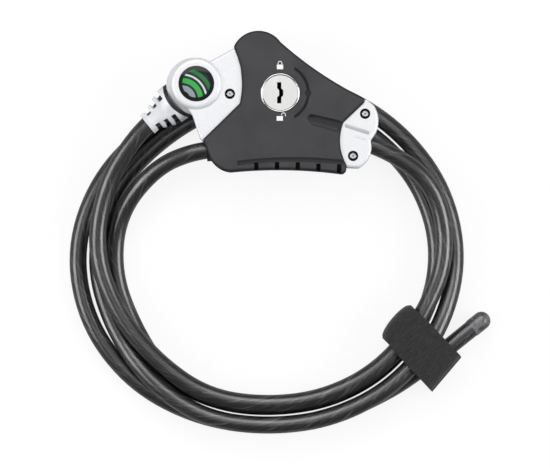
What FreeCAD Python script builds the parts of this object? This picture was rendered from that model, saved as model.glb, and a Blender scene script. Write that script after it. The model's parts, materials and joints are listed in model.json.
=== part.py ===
# Adjustable locking cable: a moulded lock head with a key cylinder, a coated steel cable whose
# one end is fixed in the head through a strain relief, and a free end that passes through the
# head, where a jaw grips it. The cable is coiled and tied with a hook-and-loop strap.
# The object lies flat: +Z up, +Y towards the top of the head, +X towards the outlet casting.
# The origin is the centre of the head. Lengths are in millimetres, angles in degrees.
import FreeCAD
import Part
import math
import os

V = FreeCAD.Vector
UP = V(0, 0, 1)

# Head
HEAD_HALF_THICKNESS = 12.0
COVER_WALL = 2.2
COVER_EDGE_RADIUS = 1.6
CASTING_STEP_DOWN = 1.4
CASTING_EDGE_RADIUS = 1.2
OUTER_CORNER_RADIUS = 1.8
INNER_CORNER_RADIUS = 1.0
SEAM_GAP = 0.08
BODY_GAP = 0.3

# Cable and its passage
CABLE_DIAMETER = 8.0
PASSAGE_CLEARANCE = 0.15
PASSAGE_OUT = V(-24.2, -21.3, 0)
PASSAGE_HEADING = 3.05
PASSAGE_STRAIGHT = 64.2
PASSAGE_BEND_RADIUS = 45.0
PASSAGE_BEND = 14.0
BUSH_WALL = 1.25
BUSH_LENGTH = 6.0

# Anchor boss, badge and strain relief
BOSS_CENTRE = V(-28.7, 8.6, 0)
BOSS_RADIUS = 11.9
BOSS_EDGE_RADIUS = 2.2
BADGE_RADIUS = 8.1
BADGE_THICKNESS = 0.9
BADGE_GAP = 0.1
RELIEF_HEADING = 218.75
RELIEF_START = 13.6
RELIEF_LENGTH = 15.6
RELIEF_ROOT_RADIUS = 9.3
RELIEF_TIP_RADIUS = 5.5
RELIEF_RIBS = 4
RELIEF_SLOT_WIDTH = 1.7
RELIEF_SLOT_FLOOR_RADIUS = 5.0
RELIEF_SPINE_WIDTH = 6.0
COLLAR_THICKNESS = 1.6
COLLAR_RADIUS = 9.3
COLLAR_ROOM = 3.0
COLLAR_ROOM_LENGTH = 5.0
FERRULE_RADIUS = 6.0
FERRULE_LENGTH = 15.0
FERRULE_BACK = 7.0
FERRULE_FLOOR = 5.0

# Key cylinder
KEY_CENTRE = V(9.6, 4.4, 0)
PLUG_RADIUS = 6.5
PLUG_FACE_RADIUS = 8.0
PLUG_FACE_THICKNESS = 1.8
RUNNING_CLEARANCE = 0.05
SHELL_OUTER_RADIUS = 10.5
BEZEL_WIDTH = 0.9
BEZEL_STANDS_OUT = 0.3
TAIL_RADIUS = 3.0
KEYWAY_WIDTH = 1.9
KEYWAY_HEIGHT = 9.7
KEYWAY_JOG = 0.9

# Wafers
WAFER_COUNT = 5
WAFER_PITCH = 2.4
WAFER_TOP = 7.6
WAFER_THICKNESS = 1.0
WAFER_WIDTH = 7.0
WAFER_SIDE_CLEARANCE = 0.1
WAFER_TRAVEL = 0.8
WAFER_LUG = 1.4
WAFER_LUG_HEIGHT = 1.2
WAFER_WINDOW_WIDTH = 3.2
WAFER_WINDOW_HEIGHT = 10.2
WAFER_SPRING_LENGTH = 2.2
WAFER_SPRING_RADIUS = 0.45
PLUG_END_WALL = 1.0

# Cam and jaw
CAM_RADIUS = 6.0
CAM_THICKNESS = 1.3
CLIP_THICKNESS = 0.6
CLIP_RADIUS = 7.6
CAM_PIN_RADIUS = 1.2
JAW_TRAVEL = 2.0
JAW_ARM_WIDTH = 10.0
JAW_ARM_THICKNESS = 2.2
JAW_ARM_END = 3.4
JAW_TIP_WIDTH = 8.0
JAW_TIP_HALF_HEIGHT = 3.4
JAW_TIP_LENGTH = 7.6
JAW_TIP_WRAP = 2.0
JAW_GRIP_GAP = 0.2
CAM_LAG_SHARE = 0.21
SLIDE_CLEARANCE = 0.3
SPRING_WIRE_RADIUS = 0.2
SPRING_RADIUS = 0.85
SPRING_TURNS = 6
SPRING_LENGTH = 4.8

# Screws
SCREW_HEAD_RADIUS = 2.2
SCREW_HEAD_HEIGHT = 1.6
SCREW_SHANK_RADIUS = 1.25
SCREW_HOLE_GAP = 0.1
SCREW_DEPTH = 8.0
SOCKET_RADIUS = 1.2
SOCKET_DEPTH = 1.0
INSERT_RADIUS = 2.2
INSERT_LENGTH = 6.0
ANCHOR_SCREW_AT = V(-13.4, 4.0, 0)
OUTLET_SCREWS_AT = [V(48.4, -5.1, 0), V(42.9, -24.4, 0)]
REAR_SCREWS_AT = [V(-10.0, -22.5, 0), V(29.0, -24.0, 0), V(27.0, 2.0, 0), V(-1.2, 11.2, 0)]
REAR_SCREW_REACH = 7.0

# Marks on the front cover
ARC_GROOVE_RADIUS = 12.8
ARC_GROOVE_WIDTH = 1.3
ARC_GROOVE_HALF_ANGLE = 60.0
GROOVE_DEPTH = 0.7
DOT_AT = V(22.4, 4.2, 0)
DOT_RADIUS = 1.4
THUMB_GROOVE_START = V(24.2, -7.6, 0)
THUMB_GROOVE_END = V(38.2, -11.1, 0)
THUMB_GROOVE_WIDTH = 4.0
THUMB_GROOVE_DEPTH = 1.0
GRIP_NOTCH_FIRST = -1.3
GRIP_NOTCH_PITCH = 9.45
GRIP_NOTCH_COUNT = 5
GRIP_NOTCH_WIDTH = 2.0
GRIP_NOTCH_LENGTH = 4.5
GRIP_NOTCH_DEPTH = 1.6

# Coil
RING_CENTRE = V(3.5, -71.1, 0)
HEAD_OVER_COIL = 0.3
FLOOR_CUT = 0.5
CABLE_CENTRE_ON_FLOOR = -(HEAD_HALF_THICKNESS + HEAD_OVER_COIL + CABLE_DIAMETER / 2)
FLOOR = CABLE_CENTRE_ON_FLOOR - CABLE_DIAMETER / 2 + FLOOR_CUT
PASSAGE_RISE = -CABLE_CENTRE_ON_FLOOR
TOP_LANE = 8.7
STRAP_LIFT = 2.4
ROUTE_STEP = 22.5

# Cap on the free end
CAP_LENGTH = 10.0
CAP_WALL = 0.6
CAP_GAP = 0.05
CAP_END = 1.4

# Strap
STRAP_CENTRE = V(74.4, -112.5, 0)
STRAP_HEADING = 49.7
STRAP_WIDTH = 19.0
STRAP_THICKNESS = 1.6
STRAP_INNER_SIDE = -15.2
STRAP_OUTER_SIDE = 13.8
STRAP_CORNER_RADIUS = 5.0
STRAP_TOP_GAP = 0.35
STRAP_TAB_LENGTH = 5.0

# Radius of the outermost lane of the coil about the ring's centre, each 30 degrees from +X
COIL_OUTLINE = [86.4, 84.9, 82.4, 84.0, 83.0, 84.6, 87.3, 85.2, 79.2, 76.4, 79.7, 83.2]

# Lanes of each loop: angle, how far inside the outline, and height over the floor lane
FIRST_LOOP_LANE = [
    (131.7, 1.0, PASSAGE_RISE),
    (150, 4.4, 12.7),
    (180, 10.0, TOP_LANE),
    (206, 15.0, TOP_LANE),
    (228, 14.8, TOP_LANE),
    (250, 10.4, TOP_LANE),
    (335, 10.6, TOP_LANE),
    (368, 4.2, TOP_LANE + 0.4),
    (384, 3.3, 13.5),
    (407.5, 12.7, PASSAGE_RISE),
]
COIL_LANE = [
    (119, 30.0, PASSAGE_RISE),
    (135, 20.5, 14.0),
    (150, 15.8, 7.0),
    (172, 18.0, 0.0),
    (205, 18.5, 0.0),
    (240, 10.6, 0.0),
    (345, 10.6, 0.0),
    (450, 8.7, 0.0),
    (520, 8.7, 0.0),
    (560, 9.6, 0.3),
    (584, 5.8, 6.3),
    (603, 0.6, TOP_LANE),
    (690, 0.3, TOP_LANE),
    (722, 0.0, 0.0),
    (1031, 0.0, 0.0),
]
STRAP_RISE = [(270, 0.0), (316, STRAP_LIFT), (343, STRAP_LIFT), (388, 0.0)]

# Free end after the coil: places on the table and height over the floor lane
TAIL = [(73.2, -122.8, STRAP_LIFT), (88.9, -110.4, STRAP_LIFT), (104.7, -98.2, 1.2)]


def unit(degrees):
    return V(math.cos(math.radians(degrees)), math.sin(math.radians(degrees)), 0)


def export(shape, node):
    os.makedirs("parts", exist_ok=True)
    shape.exportStep("parts/" + node + ".step")


# Outlines
# An outline is a list of steps: a point ends a straight edge, and ("arc", middle, end) an arc.
def outline_wire(steps, height=0.0):
    here = V(steps[0][0], steps[0][1], height)
    edges = []
    for step in steps[1:] + [steps[0]]:
        if step[0] == "arc":
            middle = V(step[1][0], step[1][1], height)
            end = V(step[2][0], step[2][1], height)
            edges.append(Part.Arc(here, middle, end).toShape())
        else:
            end = V(step[0], step[1], height)
            if not end.isEqual(here, 1e-6):
                edges.append(Part.LineSegment(here, end).toShape())
        here = end
    return Part.Wire(edges)


# The same outline with its outer and inner corners rounded
def rounded_wire(steps, height=0.0):
    wire = outline_wire(steps, height).makeOffset2D(-OUTER_CORNER_RADIUS)
    return wire.makeOffset2D(OUTER_CORNER_RADIUS + INNER_CORNER_RADIUS).makeOffset2D(-INNER_CORNER_RADIUS)


def slab(wire, low, high):
    face = Part.Face(wire)
    face.translate(V(0, 0, low - wire.BoundBox.ZMin))
    return face.extrude(V(0, 0, high - low))


def box(centre_x, width, y_low, y_high, z_low, z_high):
    corner = V(centre_x - width / 2, y_low, z_low)
    return Part.makeBox(width, y_high - y_low, z_high - z_low, corner)


def disc(radius, low, high, centre=V(0, 0, 0)):
    return Part.makeCylinder(radius, high - low, V(centre.x, centre.y, low))


def ring(inner, outer, low, high, centre=V(0, 0, 0)):
    return disc(outer, low, high, centre).cut(disc(inner, low, high, centre))


def round_rim(solid, radius, height):
    rim = [e for e in solid.Edges if abs(e.BoundBox.ZMin - height) < 1e-6 and e.BoundBox.ZLength < 1e-6]
    return solid.makeFillet(radius, rim)


BLACK_OUTLINE = [
    (-11.7, 25.4),
    ("arc", (-1.0, 32.8), (9.8, 27.6)),
    ("arc", (26.4, 14.6), (49.4, 1.3)),
    (38.5, -9.1),
    ("arc", (36.9, -18.0), (39.9, -28.5)),
    (39.7, -32.8),
    ("arc", (9.8, -30.6), (-13.2, -31.7)),
    ("arc", (-19.0, -29.6), (-22.5, -25.6)),
    (-25.8, -17.0),
    (-8.9, -0.5),
    ("arc", (-8.0, 12.0), (-11.7, 25.4)),
]
ANCHOR_OUTLINE = [
    (-5.0, 28.4),
    (-21.8, 19.3),
    (-36.0, 10.0),
    (-36.0, 2.0),
    (-30.5, -6.2),
    (-26.4, -18.5),
    (-5.0, -5.0),
]
OUTLET_OUTLINE = [
    (34.0, -0.4),
    (49.2, 1.5),
    (52.4, -1.2),
    ("arc", (54.5, -7.6), (53.3, -14.1)),
    (51.0, -17.6),
    ("arc", (50.4, -24.8), (45.8, -29.9)),
    (34.0, -29.4),
]
LOCK_BODY_OUTLINE = [
    (-5.2, 15.0),
    (18.0, 15.0),
    (34.0, 4.5),
    (34.0, -27.5),
    (-15.0, -27.0),
    (-17.0, -14.5),
    (-5.2, -3.0),
]

CAVITY_HALF = HEAD_HALF_THICKNESS - COVER_WALL
BODY_HALF = CAVITY_HALF - BODY_GAP
CASTING_TOP = HEAD_HALF_THICKNESS - CASTING_STEP_DOWN
CABLE_RADIUS = CABLE_DIAMETER / 2
PASSAGE_RADIUS = CABLE_RADIUS + PASSAGE_CLEARANCE
BUSH_RADIUS = PASSAGE_RADIUS + BUSH_WALL
BEZEL_INNER = PLUG_FACE_RADIUS + RUNNING_CLEARANCE
BEZEL_OUTER = BEZEL_INNER + BEZEL_WIDTH
RELIEF_AXIS = unit(RELIEF_HEADING)
SHELL_BOTTOM = WAFER_TOP - (WAFER_COUNT - 1) * WAFER_PITCH - WAFER_THICKNESS - PLUG_END_WALL

# The passage runs straight past the jaw, then bends down to its mouth in the outlet casting
PASSAGE_AXIS = unit(PASSAGE_HEADING) * -1
BEND_CENTRE = PASSAGE_OUT - PASSAGE_AXIS * PASSAGE_STRAIGHT + unit(PASSAGE_HEADING - 90) * PASSAGE_BEND_RADIUS
MOUTH_HEADING = PASSAGE_HEADING - PASSAGE_BEND
MOUTH_AXIS = unit(MOUTH_HEADING) * -1
PASSAGE_IN = BEND_CENTRE + unit(MOUTH_HEADING + 90) * PASSAGE_BEND_RADIUS


# A rod along the strain relief's axis, from one distance to another from the boss centre
def relief_rod(radius, start, end):
    return Part.makeCylinder(radius, end - start, BOSS_CENTRE + RELIEF_AXIS * start, RELIEF_AXIS)


# A rod along the cable's passage that runs past both ends of it
def passage_rod(radius, past=0.0):
    rod = Part.makeCylinder(radius, PASSAGE_STRAIGHT + past, PASSAGE_OUT + PASSAGE_AXIS * past, PASSAGE_AXIS * -1)
    rod = rod.fuse(passage_bend(radius, PASSAGE_BEND))
    if past:
        rod = rod.fuse(Part.makeCylinder(radius, past, PASSAGE_IN, MOUTH_AXIS * -1))
    return rod


# The last part of the passage's bend, up to the mouth
def passage_bend(radius, degrees):
    section = Part.Face(Part.Wire(Part.makeCircle(radius, PASSAGE_IN, MOUTH_AXIS)))
    return section.revolve(BEND_CENTRE, UP, degrees)


def front_cover():
    wire = rounded_wire(BLACK_OUTLINE)
    cover = round_rim(slab(wire, 0, HEAD_HALF_THICKNESS), COVER_EDGE_RADIUS, HEAD_HALF_THICKNESS)
    cavity = slab(wire.makeOffset2D(-COVER_WALL), 0, CAVITY_HALF)
    cover = cover.cut(cavity)
    top = HEAD_HALF_THICKNESS
    cuts = [
        disc(BEZEL_OUTER + RUNNING_CLEARANCE, 0, top, KEY_CENTRE),
        disc(DOT_RADIUS, top - GROOVE_DEPTH, top, DOT_AT),
        arc_groove(top),
        thumb_groove(top),
        passage_rod(BUSH_RADIUS, BUSH_LENGTH),
    ]
    cuts += grip_notches(top)
    for tool in cuts:
        cover = cover.cut(tool)
    return cover


def arc_groove(top):
    inner = ARC_GROOVE_RADIUS - ARC_GROOVE_WIDTH / 2
    outer = ARC_GROOVE_RADIUS + ARC_GROOVE_WIDTH / 2
    start = -ARC_GROOVE_HALF_ANGLE
    sweep = 2 * ARC_GROOVE_HALF_ANGLE
    base = V(KEY_CENTRE.x, KEY_CENTRE.y, top - GROOVE_DEPTH)
    band = Part.makeCylinder(outer, GROOVE_DEPTH, base, UP, sweep)
    band = band.cut(Part.makeCylinder(inner, GROOVE_DEPTH, base, UP))
    band.rotate(base, UP, start)
    return band


def thumb_groove(top):
    low = top - THUMB_GROOVE_DEPTH
    run = THUMB_GROOVE_END - THUMB_GROOVE_START
    radius = THUMB_GROOVE_WIDTH / 2
    bar = Part.makeBox(run.Length + radius, THUMB_GROOVE_WIDTH, THUMB_GROOVE_DEPTH, V(0, -radius, low))
    bar.rotate(V(0, 0, 0), UP, math.degrees(math.atan2(run.y, run.x)))
    bar.translate(THUMB_GROOVE_START)
    return bar.fuse(disc(radius, low, top, THUMB_GROOVE_START))


def grip_notches(top):
    floor_y = outline_wire(BLACK_OUTLINE).BoundBox.YMin
    low = top - GRIP_NOTCH_DEPTH
    notches = []
    for i in range(GRIP_NOTCH_COUNT):
        x = GRIP_NOTCH_FIRST + i * GRIP_NOTCH_PITCH
        notches.append(box(x, GRIP_NOTCH_WIDTH, floor_y - 1, floor_y + GRIP_NOTCH_LENGTH, low, top))
    return notches


def rear_cover():
    wire = rounded_wire(BLACK_OUTLINE)
    bottom = -HEAD_HALF_THICKNESS
    cover = round_rim(slab(wire, bottom, 0), COVER_EDGE_RADIUS, bottom)
    cover = cover.cut(slab(wire.makeOffset2D(-COVER_WALL), -CAVITY_HALF, 0))
    cover = cover.cut(passage_rod(BUSH_RADIUS, BUSH_LENGTH))
    for place in REAR_SCREWS_AT:
        cover = cover.cut(disc(SCREW_SHANK_RADIUS + SCREW_HOLE_GAP, bottom, 0, place))
        head = SCREW_HEAD_RADIUS + SCREW_HOLE_GAP
        cover = cover.cut(disc(head, bottom, bottom + SCREW_HEAD_HEIGHT, place))
    return cover


def rear_screw(place):
    bottom = -HEAD_HALF_THICKNESS
    screw = disc(SCREW_HEAD_RADIUS, bottom, bottom + SCREW_HEAD_HEIGHT, place)
    screw = screw.fuse(disc(SCREW_SHANK_RADIUS, bottom, bottom + REAR_SCREW_REACH, place))
    return screw.cut(disc(SOCKET_RADIUS, bottom, bottom + SOCKET_DEPTH, place))


# The silver castings, which meet the black covers at their common edge
def casting(steps, low, high, rim):
    return round_rim(slab(rounded_wire(steps), low, high), CASTING_EDGE_RADIUS, rim)


def boss(low, high, rim):
    drum = disc(BOSS_RADIUS, low, high, BOSS_CENTRE)
    return round_rim(drum, BOSS_EDGE_RADIUS, rim)


def anchor_cuts(solid):
    solid = solid.cut(relief_rod(FERRULE_RADIUS + SEAM_GAP, -FERRULE_BACK - SEAM_GAP, RELIEF_START))
    face = RELIEF_START - COLLAR_THICKNESS - SEAM_GAP
    solid = solid.cut(relief_rod(COLLAR_RADIUS + COLLAR_ROOM, face, RELIEF_START + COLLAR_ROOM_LENGTH))
    return solid.cut(passage_rod(BUSH_RADIUS + SEAM_GAP, BUSH_LENGTH))


def anchor_cover():
    plate = casting(ANCHOR_OUTLINE, 0, CASTING_TOP, CASTING_TOP)
    solid = plate.fuse(boss(0, HEAD_HALF_THICKNESS, HEAD_HALF_THICKNESS))
    solid = solid.cut(black_covers_space())
    solid = anchor_cuts(solid)
    seat = HEAD_HALF_THICKNESS - BADGE_THICKNESS
    solid = solid.cut(disc(BADGE_RADIUS + BADGE_GAP, seat, HEAD_HALF_THICKNESS, BOSS_CENTRE))
    return screw_seat(solid, ANCHOR_SCREW_AT)


def anchor_base():
    plate = casting(ANCHOR_OUTLINE, -HEAD_HALF_THICKNESS, 0, -HEAD_HALF_THICKNESS)
    solid = plate.fuse(boss(-HEAD_HALF_THICKNESS, 0, -HEAD_HALF_THICKNESS))
    solid = solid.cut(black_covers_space())
    return insert_seat(anchor_cuts(solid), ANCHOR_SCREW_AT)


def black_covers_space():
    black = rounded_wire(BLACK_OUTLINE).makeOffset2D(SEAM_GAP)
    return slab(black, -HEAD_HALF_THICKNESS - 1, HEAD_HALF_THICKNESS + 1)


def screw_seat(solid, place):
    floor = CASTING_TOP - SCREW_HEAD_HEIGHT
    solid = solid.cut(disc(SCREW_HEAD_RADIUS + 2 * SCREW_HOLE_GAP, floor, HEAD_HALF_THICKNESS, place))
    return solid.cut(disc(SCREW_SHANK_RADIUS + SCREW_HOLE_GAP, 0, floor, place))


def insert_seat(solid, place):
    solid = solid.cut(disc(INSERT_RADIUS, -INSERT_LENGTH, 0, place))
    return solid.cut(disc(SCREW_SHANK_RADIUS + SCREW_HOLE_GAP, -SCREW_DEPTH - 0.5, 0, place))


def casting_screw(place):
    floor = CASTING_TOP - SCREW_HEAD_HEIGHT
    screw = disc(SCREW_HEAD_RADIUS, floor, CASTING_TOP, place)
    screw = screw.fuse(disc(SCREW_SHANK_RADIUS, -SCREW_DEPTH, floor, place))
    return screw.cut(disc(SOCKET_RADIUS, CASTING_TOP - SOCKET_DEPTH, CASTING_TOP, place))


def threaded_inserts():
    places = [ANCHOR_SCREW_AT] + OUTLET_SCREWS_AT
    bore = SCREW_SHANK_RADIUS + SCREW_HOLE_GAP
    return Part.Compound([ring(bore, INSERT_RADIUS, -INSERT_LENGTH, 0, p) for p in places])


def outlet_half(low, high, rim, seat):
    solid = casting(OUTLET_OUTLINE, low, high, rim).cut(black_covers_space())
    solid = solid.cut(passage_rod(BUSH_RADIUS, BUSH_LENGTH))
    for place in OUTLET_SCREWS_AT:
        solid = seat(solid, place)
    return solid


def outlet_cover():
    return outlet_half(0, CASTING_TOP, CASTING_TOP, screw_seat)


def outlet_base():
    return outlet_half(-HEAD_HALF_THICKNESS, 0, -HEAD_HALF_THICKNESS, insert_seat)


def badge():
    return disc(BADGE_RADIUS, HEAD_HALF_THICKNESS - BADGE_THICKNESS, HEAD_HALF_THICKNESS, BOSS_CENTRE)


def cable_ferrule():
    end = FERRULE_LENGTH - FERRULE_BACK
    bore = relief_rod(CABLE_RADIUS, FERRULE_FLOOR - FERRULE_BACK, end)
    return relief_rod(FERRULE_RADIUS, -FERRULE_BACK, end).cut(bore)


def relief_collar():
    flange = relief_rod(COLLAR_RADIUS, RELIEF_START - COLLAR_THICKNESS, RELIEF_START)
    neck = relief_rod(FERRULE_RADIUS, FERRULE_LENGTH - FERRULE_BACK, RELIEF_START)
    return flange.fuse(neck).cut(relief_rod(CABLE_RADIUS, 0, RELIEF_START))


# A tapered sleeve whose slots are staggered, so that it bends
def strain_relief():
    start = BOSS_CENTRE + RELIEF_AXIS * RELIEF_START
    cone = Part.makeCone(RELIEF_ROOT_RADIUS, RELIEF_TIP_RADIUS, RELIEF_LENGTH, start, RELIEF_AXIS)
    relief = cone.cut(relief_rod(CABLE_RADIUS, 0, RELIEF_START + RELIEF_LENGTH))
    pitch = RELIEF_LENGTH / (RELIEF_RIBS + 0.5)
    for i in range(RELIEF_RIBS):
        low = RELIEF_START + pitch * (i + 0.62)
        slot = relief_rod(RELIEF_ROOT_RADIUS + 1, low, low + RELIEF_SLOT_WIDTH)
        slot = slot.cut(relief_rod(RELIEF_SLOT_FLOOR_RADIUS, low, low + RELIEF_SLOT_WIDTH))
        relief = relief.cut(slot.cut(relief_spine(i)))
    return relief


def relief_spine(index):
    length = RELIEF_START + RELIEF_LENGTH
    reach = 3 * RELIEF_ROOT_RADIUS
    half = RELIEF_SPINE_WIDTH / 2
    if index % 2:
        spine = Part.makeBox(length, RELIEF_SPINE_WIDTH, reach, V(0, -half, -reach / 2))
    else:
        spine = Part.makeBox(length, reach, RELIEF_SPINE_WIDTH, V(0, -reach / 2, -half))
    spine.rotate(V(0, 0, 0), UP, RELIEF_HEADING)
    spine.translate(BOSS_CENTRE)
    return spine


def inlet_bush():
    rod = Part.makeCylinder(BUSH_RADIUS, BUSH_LENGTH, PASSAGE_OUT, PASSAGE_AXIS * -1)
    return rod.cut(Part.makeCylinder(PASSAGE_RADIUS, BUSH_LENGTH, PASSAGE_OUT, PASSAGE_AXIS * -1))


def outlet_bush():
    sweep = math.degrees(BUSH_LENGTH / PASSAGE_BEND_RADIUS)
    return passage_bend(BUSH_RADIUS, sweep).cut(passage_bend(PASSAGE_RADIUS, sweep))


# The cylinder: its shell is fixed, and its plug turns with the key
CAM_TOP = SHELL_BOTTOM - CLIP_THICKNESS - 3 * RUNNING_CLEARANCE
CAM_BOTTOM = CAM_TOP - CAM_THICKNESS
ARM_TOP = CAM_BOTTOM - SLIDE_CLEARANCE
ARM_BOTTOM = ARM_TOP - JAW_ARM_THICKNESS
CAM_ECCENTRICITY = JAW_TRAVEL
PLUG_FACE_BOTTOM = HEAD_HALF_THICKNESS - PLUG_FACE_THICKNESS


def lock_body():
    body = slab(outline_wire(LOCK_BODY_OUTLINE), -BODY_HALF, BODY_HALF)
    body = body.cut(disc(SHELL_OUTER_RADIUS, SHELL_BOTTOM, BODY_HALF, KEY_CENTRE))
    body = body.cut(disc(CLIP_RADIUS + SLIDE_CLEARANCE, ARM_TOP, SHELL_BOTTOM, KEY_CENTRE))
    body = body.cut(passage_rod(PASSAGE_RADIUS))
    body = body.cut(jaw_channel())
    for place in REAR_SCREWS_AT:
        top = REAR_SCREW_REACH - HEAD_HALF_THICKNESS + 0.5
        body = body.cut(disc(SCREW_SHANK_RADIUS + SCREW_HOLE_GAP, -BODY_HALF, top, place))
    return body


# The jaw's arm lies under the cam, and its tip reaches down to the cable
def jaw_places():
    passage_at_key = PASSAGE_OUT.y + (KEY_CENTRE.x - PASSAGE_OUT.x) * PASSAGE_AXIS.y / PASSAGE_AXIS.x
    tip_low = passage_at_key + CABLE_RADIUS - JAW_TIP_WRAP
    tip_high = tip_low + JAW_TIP_LENGTH
    arm_high = KEY_CENTRE.y + JAW_ARM_END
    return tip_low, tip_high, arm_high


def jaw_channel():
    tip_low, tip_high, arm_high = jaw_places()
    room = 2 * SLIDE_CLEARANCE
    travel = JAW_TRAVEL + SLIDE_CLEARANCE
    x = KEY_CENTRE.x
    arm = box(x, JAW_ARM_WIDTH + room, tip_low - room, arm_high + travel, -BODY_HALF, ARM_TOP + SLIDE_CLEARANCE)
    tip_top = JAW_TIP_HALF_HEIGHT + SLIDE_CLEARANCE
    tip = box(x, JAW_TIP_WIDTH + room, tip_low - room, tip_high + travel, -BODY_HALF, tip_top)
    middle = (ARM_TOP + ARM_BOTTOM) / 2
    radius = SPRING_RADIUS + SPRING_WIRE_RADIUS + SLIDE_CLEARANCE
    reach = SPRING_LENGTH + SLIDE_CLEARANCE
    pocket = Part.makeCylinder(radius, reach, V(x, arm_high, middle), V(0, 1, 0))
    return arm.fuse(tip).fuse(pocket)


def locking_jaw():
    tip_low, tip_high, arm_high = jaw_places()
    x = KEY_CENTRE.x
    arm = box(x, JAW_ARM_WIDTH, tip_low, arm_high, ARM_BOTTOM, ARM_TOP)
    tip = box(x, JAW_TIP_WIDTH, tip_low, tip_high, ARM_BOTTOM, JAW_TIP_HALF_HEIGHT)
    jaw = arm.fuse(tip)
    jaw = jaw.cut(passage_rod(CABLE_RADIUS + JAW_GRIP_GAP))
    lag = CAM_LAG_SHARE * JAW_TRAVEL
    high = KEY_CENTRE.y - CAM_ECCENTRICITY + CAM_PIN_RADIUS + SLIDE_CLEARANCE
    low = KEY_CENTRE.y - CAM_ECCENTRICITY - CAM_PIN_RADIUS - lag - SLIDE_CLEARANCE
    right = x + CAM_PIN_RADIUS + SLIDE_CLEARANCE
    left = x - CAM_ECCENTRICITY - CAM_PIN_RADIUS - SLIDE_CLEARANCE
    slot = box((left + right) / 2, right - left, low, high, ARM_BOTTOM, ARM_TOP)
    return jaw.cut(slot)


def jaw_spring():
    arm_high = jaw_places()[2]
    middle = (ARM_TOP + ARM_BOTTOM) / 2
    length = SPRING_LENGTH - 2 * SPRING_WIRE_RADIUS
    coil = Part.makeHelix(length / SPRING_TURNS, length, SPRING_RADIUS)
    profile = Part.Wire(Part.makeCircle(SPRING_WIRE_RADIUS, V(SPRING_RADIUS, 0, 0), V(0, 1, 0)))
    spring = Part.Wire(coil.Edges).makePipeShell([profile], True, True)
    spring.rotate(V(0, 0, 0), V(1, 0, 0), -90)
    spring.translate(V(KEY_CENTRE.x, arm_high + 2 * SPRING_WIRE_RADIUS, middle))
    return spring


def cylinder_shell():
    shell = ring(PLUG_RADIUS + RUNNING_CLEARANCE, SHELL_OUTER_RADIUS, SHELL_BOTTOM, BODY_HALF, KEY_CENTRE)
    reach = PLUG_RADIUS + WAFER_TRAVEL + SLIDE_CLEARANCE
    width = WAFER_WIDTH + 2 * SLIDE_CLEARANCE
    y = KEY_CENTRE.y
    low = wafer_level(WAFER_COUNT - 1) - WAFER_THICKNESS
    groove = box(KEY_CENTRE.x, width, y - reach, y + reach, low, BODY_HALF)
    return shell.cut(groove)


def cylinder_bezel():
    top = HEAD_HALF_THICKNESS + BEZEL_STANDS_OUT
    return ring(BEZEL_INNER, BEZEL_OUTER, BODY_HALF, top, KEY_CENTRE)


# A keyway that jogs sideways at a third and two thirds of its height
def keyway(low, high):
    half = KEYWAY_WIDTH / 2
    rise = KEYWAY_HEIGHT / 2
    third = KEYWAY_HEIGHT / 6
    jog = KEYWAY_JOG / 2
    steps = [
        (-half - jog, rise),
        (-half - jog, third + jog),
        (-half + jog, third - jog),
        (-half + jog, -third + jog),
        (-half - jog, -third - jog),
        (-half - jog, -rise),
        (half - jog, -rise),
        (half - jog, -third - jog),
        (half + jog, -third + jog),
        (half + jog, third - jog),
        (half - jog, third + jog),
        (half - jog, rise),
    ]
    solid = slab(outline_wire(steps), low, high)
    solid.translate(KEY_CENTRE)
    return solid


def wafer_level(index):
    return WAFER_TOP - index * WAFER_PITCH


# Wafers leave the plug towards +Y and -Y in turn
def wafer_side(index):
    return 1 if index % 2 == 0 else -1


def wafer_lug(index, room):
    side = wafer_side(index)
    x_low = WAFER_WIDTH / 2
    half = WAFER_LUG_HEIGHT / 2
    ends = [-side * (half + room * WAFER_SPRING_LENGTH), side * (half + room * WAFER_TRAVEL)]
    return x_low, min(ends), max(ends)


def wafer_slot(index):
    level = wafer_level(index)
    low = level - WAFER_THICKNESS - WAFER_SIDE_CLEARANCE
    high = level + WAFER_SIDE_CLEARANCE
    x, y = KEY_CENTRE.x, KEY_CENTRE.y
    width = WAFER_WIDTH + 2 * WAFER_SIDE_CLEARANCE
    slot = box(x, width, y - PLUG_RADIUS - 1, y + PLUG_RADIUS + 1, low, high)
    lug_x, lug_low, lug_high = wafer_lug(index, 1.0)
    gap = 2 * WAFER_SIDE_CLEARANCE
    corner = V(x, y + lug_low - gap, low)
    pocket = Part.makeBox(lug_x + WAFER_LUG + gap, lug_high - lug_low + 2 * gap, high - low, corner)
    return slot.fuse(pocket)


def wafer(index):
    level = wafer_level(index)
    low = level - WAFER_THICKNESS
    x, y = KEY_CENTRE.x, KEY_CENTRE.y
    plate = box(x, WAFER_WIDTH, y - PLUG_RADIUS, y + PLUG_RADIUS, low, level)
    plate = plate.common(disc(PLUG_RADIUS - WAFER_SIDE_CLEARANCE, low, level, KEY_CENTRE))
    lug_x, lug_low, lug_high = wafer_lug(index, 0.0)
    lug = Part.makeBox(lug_x + WAFER_LUG, lug_high - lug_low, WAFER_THICKNESS, V(x, y + lug_low, low))
    half = WAFER_WINDOW_HEIGHT / 2
    window = box(x, WAFER_WINDOW_WIDTH, y - half, y + half, low, level)
    return plate.fuse(lug).cut(window)


def wafer_springs():
    springs = []
    for i in range(WAFER_COUNT):
        side = wafer_side(i)
        x = KEY_CENTRE.x + WAFER_WIDTH / 2 + WAFER_LUG / 2
        y = KEY_CENTRE.y - side * (WAFER_LUG_HEIGHT / 2 + WAFER_SIDE_CLEARANCE)
        z = wafer_level(i) - WAFER_THICKNESS / 2
        length = WAFER_SPRING_LENGTH - WAFER_SIDE_CLEARANCE
        springs.append(Part.makeCylinder(WAFER_SPRING_RADIUS, length, V(x, y, z), V(0, -side, 0)))
    return Part.Compound(springs)


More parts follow.
